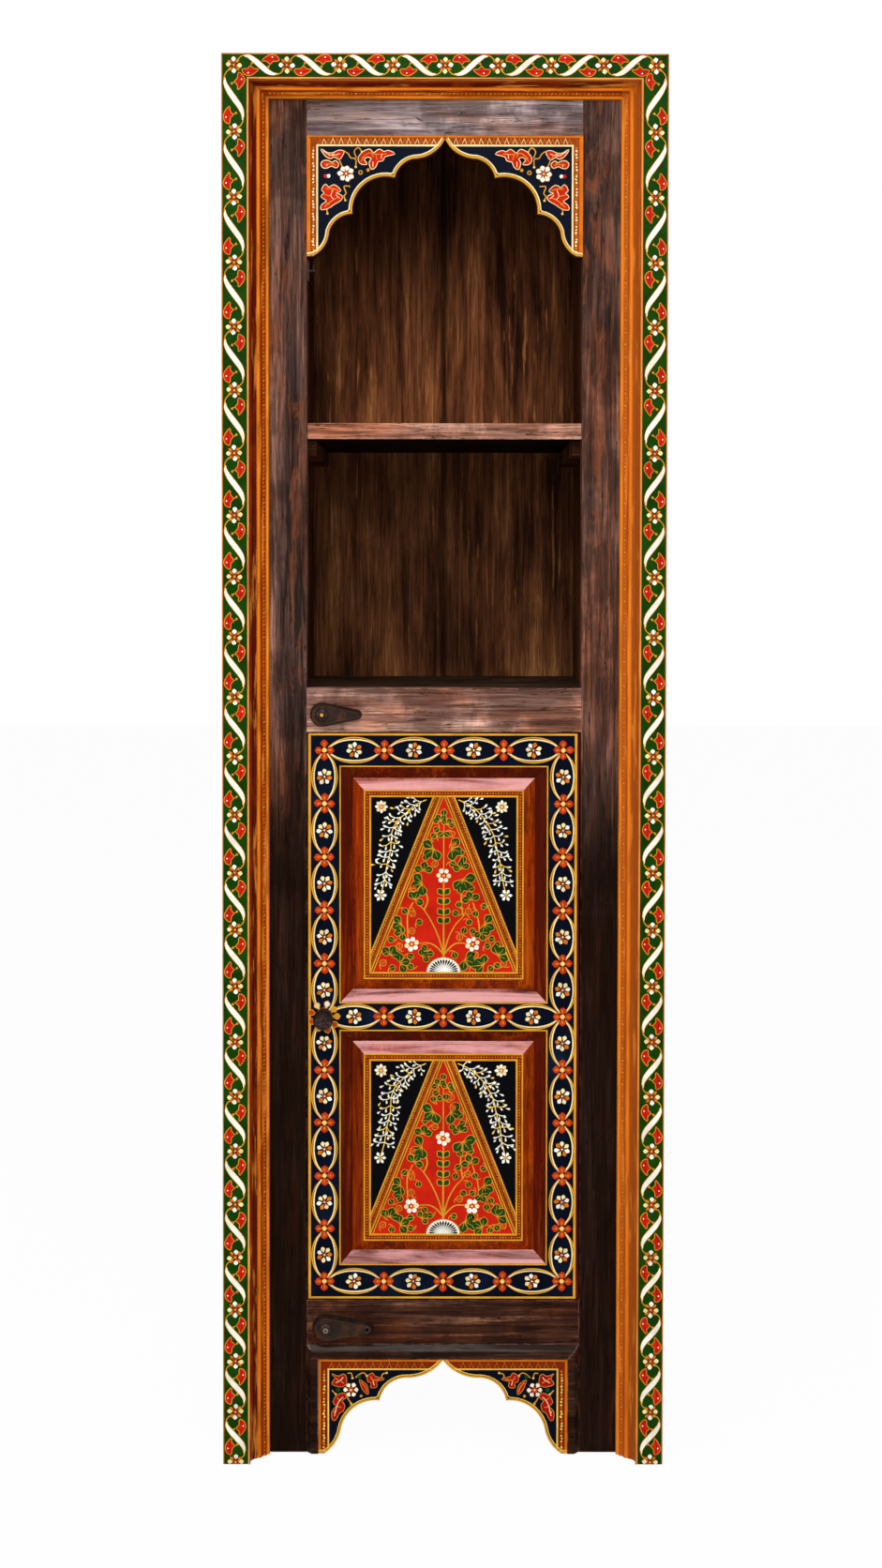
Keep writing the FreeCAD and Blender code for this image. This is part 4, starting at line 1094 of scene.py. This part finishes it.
# Places are thousandths of a board, from the middle outwards and from the top down.
# Bands are the depths of their three lines, and a bud or flower has its sizes besides.
NICHE = {
    "band": (2.2, 11.4, 13.6), "side_band": (4.6, 12.2, 14.4), "stroke": 1.7, "rim": ("cream", 1.0),
    "ground": "amber", "dots": "cream", "side_dots": "cream", "line": "cream", "leaf": "red",
    "flower": (715, 315, 7, 3.0, 7.6, 6.2),
    "leaves": (
        ((895, 115), (865, 165), (830, 190), (800, 175), (765, 195), (740, 160), (735, 130), (770, 125),
         (810, 145), (850, 145)),
        ((895, 235), (875, 210), (845, 210), (815, 225), (795, 210), (770, 235), (785, 265), (820, 250),
         (850, 265), (880, 265)),
        ((625, 185), (590, 135), (545, 115), (515, 145), (475, 115), (440, 135), (410, 125), (365, 150),
         (430, 170), (450, 205), (485, 215), (500, 255), (530, 275), (545, 225), (530, 190), (560, 175),
         (585, 200), (565, 235), (610, 230)),
        ((865, 405), (840, 430), (800, 410), (755, 455), (790, 475), (745, 500), (755, 535), (800, 565),
         (845, 600), (895, 610), (890, 575), (855, 540), (895, 505), (870, 475), (890, 450))),
    "veins": (
        ((880, 130), (820, 165), (760, 150)), ((870, 240), (820, 235), (790, 245)),
        ((600, 190), (550, 145), (490, 155), (420, 150)), ((520, 260), (520, 215)),
        ((860, 440), (810, 440), (770, 455)), ((870, 590), (820, 540), (770, 510)),
        ((820, 160), (800, 150)), ((840, 160), (835, 180)), ((790, 155), (775, 180)),
        ((850, 240), (855, 255)), ((810, 240), (805, 220)), ((500, 155), (490, 200)),
        ((455, 150), (460, 190)), ((580, 165), (605, 215)), ((530, 150), (515, 180)),
        ((810, 450), (825, 500), (800, 530)), ((870, 490), (825, 500)), ((835, 570), (860, 555)),
        ((790, 490), (760, 520))),
    "twigs": (((735, 125), (700, 150), (680, 185), (645, 195), (645, 260)),
              ((685, 420), (730, 420), (715, 475), (730, 500), (720, 535)),
              ((765, 195), (750, 240), (735, 270)), ((855, 610), (850, 645)),
              ((640, 185), (655, 130), (625, 100), (600, 135))),
    "buds": ((610, 305, 3.0, "gold"), (610, 305, 1.6, "navy"), (555, 285, 2.2, "gold"),
             (865, 335, 2.6, "red"), (842, 335, 2.4, "white")),
}
APRON = {
    "band": (3.0, 12.2, 14.0), "side_band": (3.2, 12.0, 14.0), "stroke": 1.2, "rim": ("gold", 0.7),
    "ground": "red_brown", "dots": "amber", "side_dots": "yellow", "line": "yellow", "leaf": "crimson",
    "flower": (737, 325, 6, 3.8, 5.8, 5.6),
    "leaves": (
        ((890, 155), (865, 200), (890, 260), (850, 285), (810, 290), (775, 260), (780, 180), (800, 160),
         (830, 180), (860, 175)),
        ((668, 220), (630, 250), (605, 290), (600, 370), (635, 335), (655, 280)),
        ((605, 185), (585, 160), (560, 150), (540, 185), (470, 210), (530, 235), (530, 290), (575, 300),
         (575, 250), (600, 235)),
        ((800, 360), (855, 390), (880, 455), (855, 500), (890, 560), (885, 640), (860, 640), (830, 570),
         (800, 545), (790, 485), (810, 440), (775, 400))),
    "veins": (((860, 250), (820, 220), (800, 190)), ((655, 240), (620, 300), (610, 350)),
              ((580, 180), (560, 220), (500, 210)), ((800, 400), (840, 460), (870, 600)),
              ((840, 220), (860, 200)), ((820, 230), (795, 255)), ((560, 230), (550, 275)),
              ((820, 440), (850, 410)), ((850, 500), (815, 510)), ((855, 545), (875, 565))),
    "twigs": (((700, 195), (670, 160), (635, 145), (610, 175)), ((765, 150), (735, 150), (725, 200)),
              ((490, 205), (485, 160), (450, 145)), ((770, 400), (735, 470)), ((890, 330), (860, 370))),
    "buds": ((840, 325, 3.0, "leaf"), (670, 185, 2.6, "leaf"), (655, 390, 1.8, "gold"),
             (735, 475, 1.6, "gold")),
}
ZIGZAG_PITCH, SIDE_DOT_PITCH = 5.4, 4.0
GILT_EDGE = 2.2


def front_curve(node):
    """Lower edge of an arch board's front face, from foot to apex, as (distance from the middle, z)."""
    _, (face, _), (low, high) = span(node)
    near = 0.01
    spots = set()
    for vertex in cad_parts[node].data.vertices:
        x, y, z = (part / MM for part in vertex.co)
        if abs(y - face) < near:
            spots.add((round(abs(x), 2), round(z, 2)))
    outer = max(x for x, _ in spots)
    curve = [(x, z) for x, z in spots if z < high - near and (x < outer - near or z < low + 1.5)]
    curve.sort(key=lambda spot: math.atan2(high - spot[1], outer - spot[0]), reverse=True)
    return curve, outer, high


def inward(curve, by):
    """Curve moved into the board, without the loops that its cusps would make."""
    def gap(spot):
        nearest = 1e9
        for a, b in zip(curve, curve[1:]):
            run, away = Vector(b) - Vector(a), Vector(spot) - Vector(a)
            t = min(max(away.dot(run) / max(run.dot(run), 1e-9), 0.0), 1.0)
            nearest = min(nearest, (away - run * t).length)
        return nearest

    moved = []
    for a, b in zip(curve, curve[1:]):
        run = Vector(b) - Vector(a)
        if run.length > 0.02:
            out = Vector((run.y, -run.x)).normalized() * by
            moved += [(x + out.x, z + out.y) for x, z in (a, b)]
    kept = [spot for spot in moved if gap(spot) > by - 0.04]
    path = [kept[0]]
    for spot in kept[1:]:
        if (Vector(spot) - Vector(path[-1])).length > 0.5:
            path.append(spot)
    return path


def lower_edge(curve, x):
    """Height of the cut edge at a distance from the middle."""
    for a, b in zip(curve, curve[1:]):
        if min(a[0], b[0]) <= x <= max(a[0], b[0]) and a[0] != b[0]:
            return a[1] + (b[1] - a[1]) * (x - a[0]) / (b[0] - a[0])
    return curve[0][1]


def arch_border(paint, ground, outer, top, design):
    """Orange line, dotted band and pale line along the top and the outer side of an arch board."""
    across, down = (0.0,) + design["band"], (0.0,) + design["side_band"]
    mitre = down[2] / across[2]
    for k, (coat, level) in enumerate((("orange", 3), (design["ground"], 1), (design["line"], 3))):
        head = clip(clip(ground, (0, 1, top - across[k + 1])), (0, -1, across[k] - top))
        paint.add(clip(head, (-1, mitre, mitre * top - outer)), level, coat)
        edge = clip(clip(ground, (1, 0, outer - down[k + 1])), (-1, 0, down[k] - outer))
        paint.add(clip(edge, (1, -mitre, outer - mitre * top)), level, coat)


def arch_dots(paint, inside, outer, top, foot, design):
    """Zig-zag strokes along the top band, and dots down the side band."""
    across, down = design["band"], design["side_band"]
    half, centre = (across[1] - across[0]) / 2 - 0.8, top - (across[0] + across[1]) / 2
    low, high = centre - half, centre + half
    for k in range(int((outer - down[2]) / ZIGZAG_PITCH)):
        x = outer - down[2] - k * ZIGZAG_PITCH
        following = x - ZIGZAG_PITCH
        if inside(following, low):
            tip = (x - ZIGZAG_PITCH / 2 + wander(0.8), high - abs(wander(1.6)), 1.3)
            paint.line([(x, low, 0.7), tip, (following, low, 0.7)], 2, design["dots"] if k % 2 else "orange")
            paint.add(disc(x, centre + half * 0.6, 0.9, 6), 2, "red_brown")
    middle_x = outer - (down[0] + down[1]) / 2
    for k in range(int((top - foot - across[2]) / SIDE_DOT_PITCH)):
        x, z = middle_x + wander(0.5), top - across[2] - (k + 0.5) * SIDE_DOT_PITCH
        angle = math.pi / 2 + wander(0.9)
        dot = petal(x, z, angle, -2.0, 3.8 + wander(0.8), 2.8 + wander(0.6))
        paint.add(dot, 3, design["side_dots"] if k % 4 else "orange")


def arch_board(name, side, design):
    node = name + ("_left" if side < 0 else "_right")
    curve, outer, top = front_curve(node)
    paint = Paint(span(node)[1][0])
    paint.put = lambda x, z: (side * x, z)
    foot, inner = min(z for _, z in curve), min(x for x, _ in curve)
    head = [(outer, top), (inner, top)]
    ground = head + curve[::-1]
    paint.add(ground, 0.5, "gold")
    paint.add(head + inward(curve, GILT_EDGE)[::-1], 0.8, "navy")
    arch_border(paint, ground, outer, top, design)
    arch_dots(paint, lambda x, z: x > inner and z > lower_edge(curve, x) + 4, outer, top, foot, design)
    for by, width, coat, level in ((1.3, GILT_EDGE, "gold", 5), (3.8, design["stroke"], design["line"], 4)):
        paint.line([(x, z, width) for x, z in inward(curve, by)], level, coat)

    def at(a, b):
        return inner + a / 1000 * (outer - inner), top - b / 1000 * (top - foot)

    for leaf in design["leaves"]:
        ring = smooth([at(*spot) for spot in leaf], 3, closed=True)
        rimmed(paint, ring, 2, design["leaf"], *design["rim"])
    for k, vein in enumerate(design["veins"]):
        paint.line(tendril([at(*spot) for spot in vein], 0.9), 4, "gold" if k % 3 else "cream")
    for twig in design["twigs"]:
        points = [at(*spot) for spot in twig]
        paint.line(tendril(points, 1.4), 2, "gold")
        paint.add(disc(*points[-1], 1.5, 7), 3, "yellow")
    for k, (a, b, radius, coat) in enumerate(design["buds"]):
        paint.add(disc(*at(a, b), radius), 3 + k * 0.2, coat)
    a, b, petals, start, length, width = design["flower"]
    heart = (start, "vermilion"), (1.3, "cream")
    blossom(paint, *at(a, b), petals, start, length, width, ("white",), heart, rim="gold", level=5)
    paint.done(node + "_paint", "cabinet")


def arches():
    for side in (-1, 1):
        arch_board("niche_spandrel", side, NICHE)
        arch_board("apron_spandrel", side, APRON)


# Ironwork

KNOB_HEAD, KNOB_NECK, SPINDLE, ROSE = 20.0, 6.5, 4.0, 2.5
BOLT_HEAD, SHANK = 3.5, 3.0
# From a button's bolt to the mark near its tip
UPPER_MARK, LOWER_MARK = 41.5, 53.5
# Colours of the bolt heads from the middle outwards, as (radius, colour)
BOLT_RINGS = {"upper": ((2.3, BRASS), (4.2, tint(30, 20, 22))),
              "lower": ((1.6, tint(60, 48, 44)), (3.4, tint(128, 112, 104)), (4.6, tint(40, 30, 27)))}
# Profiles on a button's face, as (radius, distance behind the face)
EYE_RING = (9.0, 0.3), (9.0, -0.4), (9.6, -0.9), (10.3, -0.5), (10.6, 0.3)
HOLE_RIM = (2.6, 0.2), (2.6, -0.1), (3.2, -0.5), (3.9, -0.1), (4.1, 0.3)
# The hole's dark inside, as a flat disc of painted shade
HOLE_SHADE = (0, -0.06), (2.7, -0.06), (2.7, 0.2)
SMOOTH_ANGLE, BEVEL_ANGLE = math.radians(38), math.radians(25)
WELD_REACH = 0.02


def crown(radius, depth, front, last=math.pi / 2, steps=8):
    """Round head from its foremost point, as (radius, y)."""
    arc = [last * k / steps for k in range(steps + 1)]
    return [(radius * math.sin(turn), front + depth * (1 - math.cos(turn))) for turn in arc]


def lathe(name, profile, x, z, body, look, sides=28):
    """Piece turned about a line towards the front; profile gives (radius, y) from front to back."""
    points, rows, faces = [], [], []
    for radius, y in profile:
        count = sides if radius > 0 else 1
        rows.append([len(points) + k for k in range(count)] * (sides // count))
        points += [(x + a, y, z + b) for a, b in disc(0, 0, radius, count)]
    for row, following in zip(rows, rows[1:]):
        for k in range(sides):
            after = (k + 1) % sides
            ring = (row[k], following[k], following[after], row[after])
            faces.append(tuple(dict.fromkeys(ring)))
    piece, mesh = new_piece(name, points, faces)
    mesh.shade_smooth()
    mesh.set_sharp_from_angle(angle=SMOOTH_ANGLE)
    mesh.materials.append(look)
    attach(piece, body)
    return piece


def knob():
    (x_low, x_high), (front, tail), _ = span("door_knob")
    radius = (x_high - x_low) / 2
    profile = crown(radius, KNOB_HEAD / 2, front, math.pi - math.asin(KNOB_NECK / radius), 14)
    profile += [(KNOB_NECK, FACE_Y - ROSE), (SPINDLE, FACE_Y - ROSE), (SPINDLE, tail), (0, tail)]
    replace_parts(lathe("knob_turned", profile, *middle("door_knob"), "door", knob_look()), "door_knob")


def bolt(name, rings):
    node = "button_bolt_" + name
    (x_low, x_high), (front, tail), _ = span(node)
    x, z = middle(node)
    profile = crown((x_high - x_low) / 2, BOLT_HEAD, front)
    profile += [(SHANK, front + BOLT_HEAD), (SHANK, tail), (0, tail)]
    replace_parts(lathe("bolt_turned_" + name, profile, x, z, "cabinet", bolt_look(node, x, z, rings)), node)


def button_marks(name):
    """Ring round the eye and rivet of the upper button; rimmed hole near the tip of the lower one, its dark
    inside a black disc of painted shade.
    """
    x, z = middle("button_bolt_" + name)
    button = "turn_button_" + name
    face = span(button)[1][0]

    def on_face(profile):
        return [(radius, face + y) for radius, y in profile]

    if name == "upper":
        lathe("upper_button_ring", on_face(EYE_RING), x, z, button, IRONWORK)
        lathe("upper_button_rivet", crown(1.8, 1.3, face - 1.2), x + UPPER_MARK, z, button, IRONWORK, 14)
    else:
        lathe("lower_button_rim", on_face(HOLE_RIM), x + LOWER_MARK, z, button, IRONWORK, 18)
        # Painted shade: a flat black disc in place of the hole's dark inside
        lathe("lower_button_hole_shade", on_face(HOLE_SHADE), x + LOWER_MARK, z, button, COATS["black"], 18)


def ironwork():
    """Smooth knob and bolts, and the small details of the turn buttons."""
    knob()
    for name, rings in BOLT_RINGS.items():
        bolt(name, rings)
        button_marks(name)


SOFT_EDGES = {"architrave_board": 0.8, "stile": 0.6, "rail": 0.7, "niche_shelf": 0.8, "apron_frame": 0.5,
              "turn_button": 1.6, "side_panel": 0.6, "architrave_moulding": 0.3}


def soften():
    """Rounds the sharp edges of boards and buttons a little."""
    for node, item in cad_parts.items():
        starts = [start for start in SOFT_EDGES if node.startswith(start) and "hook" not in node]
        if starts:
            weld = item.modifiers.new("weld", "WELD")
            weld.merge_threshold = WELD_REACH * MM
            bevel = item.modifiers.new("soft_edge", "BEVEL")
            bevel.width = SOFT_EDGES[starts[0]] * MM
            bevel.segments = 2
            bevel.limit_method = "ANGLE"
            bevel.angle_limit = BEVEL_ANGLE


# Studio, in metres and watts

WORLD_LIGHT = 0.24
FLOOR_REACH, FLOOR_GLOW = 12000.0, 0.97
# Place, aim, size and power of each lamp
LAMPS = {
    "key": ((0.0, -3.3, 5.6), (0, -0.1, 0.6), 3.0, 128),
    "front": ((0.0, -3.9, 2.8), (0, 0, 1.0), 2.0, 50),
    "left": ((-2.4, -2.3, 1.7), (0, 0, 0.9), 1.6, 34),
    "right": ((2.4, -2.5, 1.3), (0, 0, 0.9), 1.6, 10),
}
# The photo's camera: distance from the front boards, height, and turns in degrees
CAMERA_X, CAMERA_DISTANCE, CAMERA_HEIGHT = -0.0102, 2.5243, 1.1501
CAMERA_PITCH, CAMERA_YAW, CAMERA_ROLL = -1.635, -0.137, 0.097
CAMERA_LENS, CAMERA_SHIFT = 45.65, -0.1006


def backdrop(scene):
    """White world, which lights the part less than it shows."""
    world = bpy.data.worlds.new("studio")
    scene.world = world
    world.use_nodes = True
    nodes = Nodes(world.node_tree)
    background = nodes.tree.nodes["Background"]
    level = nodes.add("ShaderNodeMapRange", {"Value": nodes.shown(), "To Min": WORLD_LIGHT, "To Max": 1.0})
    nodes.feed(background.inputs["Color"], (1, 1, 1, 1))
    nodes.feed(background.inputs["Strength"], level.outputs["Result"])


def pale_floor():
    """Floor that looks white and keeps a faint shadow."""
    corners = [(x, z, 0) for x, z in bar(-FLOOR_REACH, -FLOOR_REACH, FLOOR_REACH, FLOOR_REACH)]
    floor, mesh = new_piece("floor", corners, [(0, 1, 2, 3)])
    look = Look("pale_floor")
    glow = look.add("ShaderNodeEmission", {"Color": (1, 1, 1, 1), "Strength": 1.0})
    look.feed(look.shader.inputs["Base Color"], (0.9, 0.9, 0.9, 1))
    look.feed(look.shader.inputs["Roughness"], 0.9)
    both = look.add("ShaderNodeMixShader", {0: look.times(look.shown(), FLOOR_GLOW),
                                            1: look.shader.outputs[0], 2: glow.outputs[0]})
    look.feed(look.tree.nodes["Material Output"].inputs["Surface"], both.outputs[0])
    mesh.materials.append(look.material)


def studio():
    scene = bpy.context.scene
    scene.view_settings.view_transform = "Standard"
    backdrop(scene)
    pale_floor()
    for name, (place, aim, size, power) in LAMPS.items():
        lamp = bpy.data.lights.new(name, "AREA")
        lamp.size = size
        lamp.energy = power
        item = bpy.data.objects.new(name, lamp)
        item.location = place
        item.rotation_euler = (Vector(aim) - Vector(place)).to_track_quat("-Z", "Y").to_euler()
        scene.collection.objects.link(item)
    camera = bpy.data.cameras.new("camera")
    camera.lens = CAMERA_LENS
    camera.shift_y = CAMERA_SHIFT
    eye = bpy.data.objects.new("camera", camera)
    eye.location = (CAMERA_X, FRONT_Y * MM - CAMERA_DISTANCE, CAMERA_HEIGHT)
    aim = Euler((math.radians(90 + CAMERA_PITCH), 0, math.radians(CAMERA_YAW))).to_matrix()
    eye.rotation_euler = (aim @ Matrix.Rotation(math.radians(CAMERA_ROLL), 3, "Z")).to_euler()
    scene.collection.objects.link(eye)
    scene.camera = eye


dress_frame()
outer_boards()
moulding_beads()
door_frame()
door_panel("door_panel_upper")
door_panel("door_panel_lower")
arches()
ironwork()
soften()
studio()
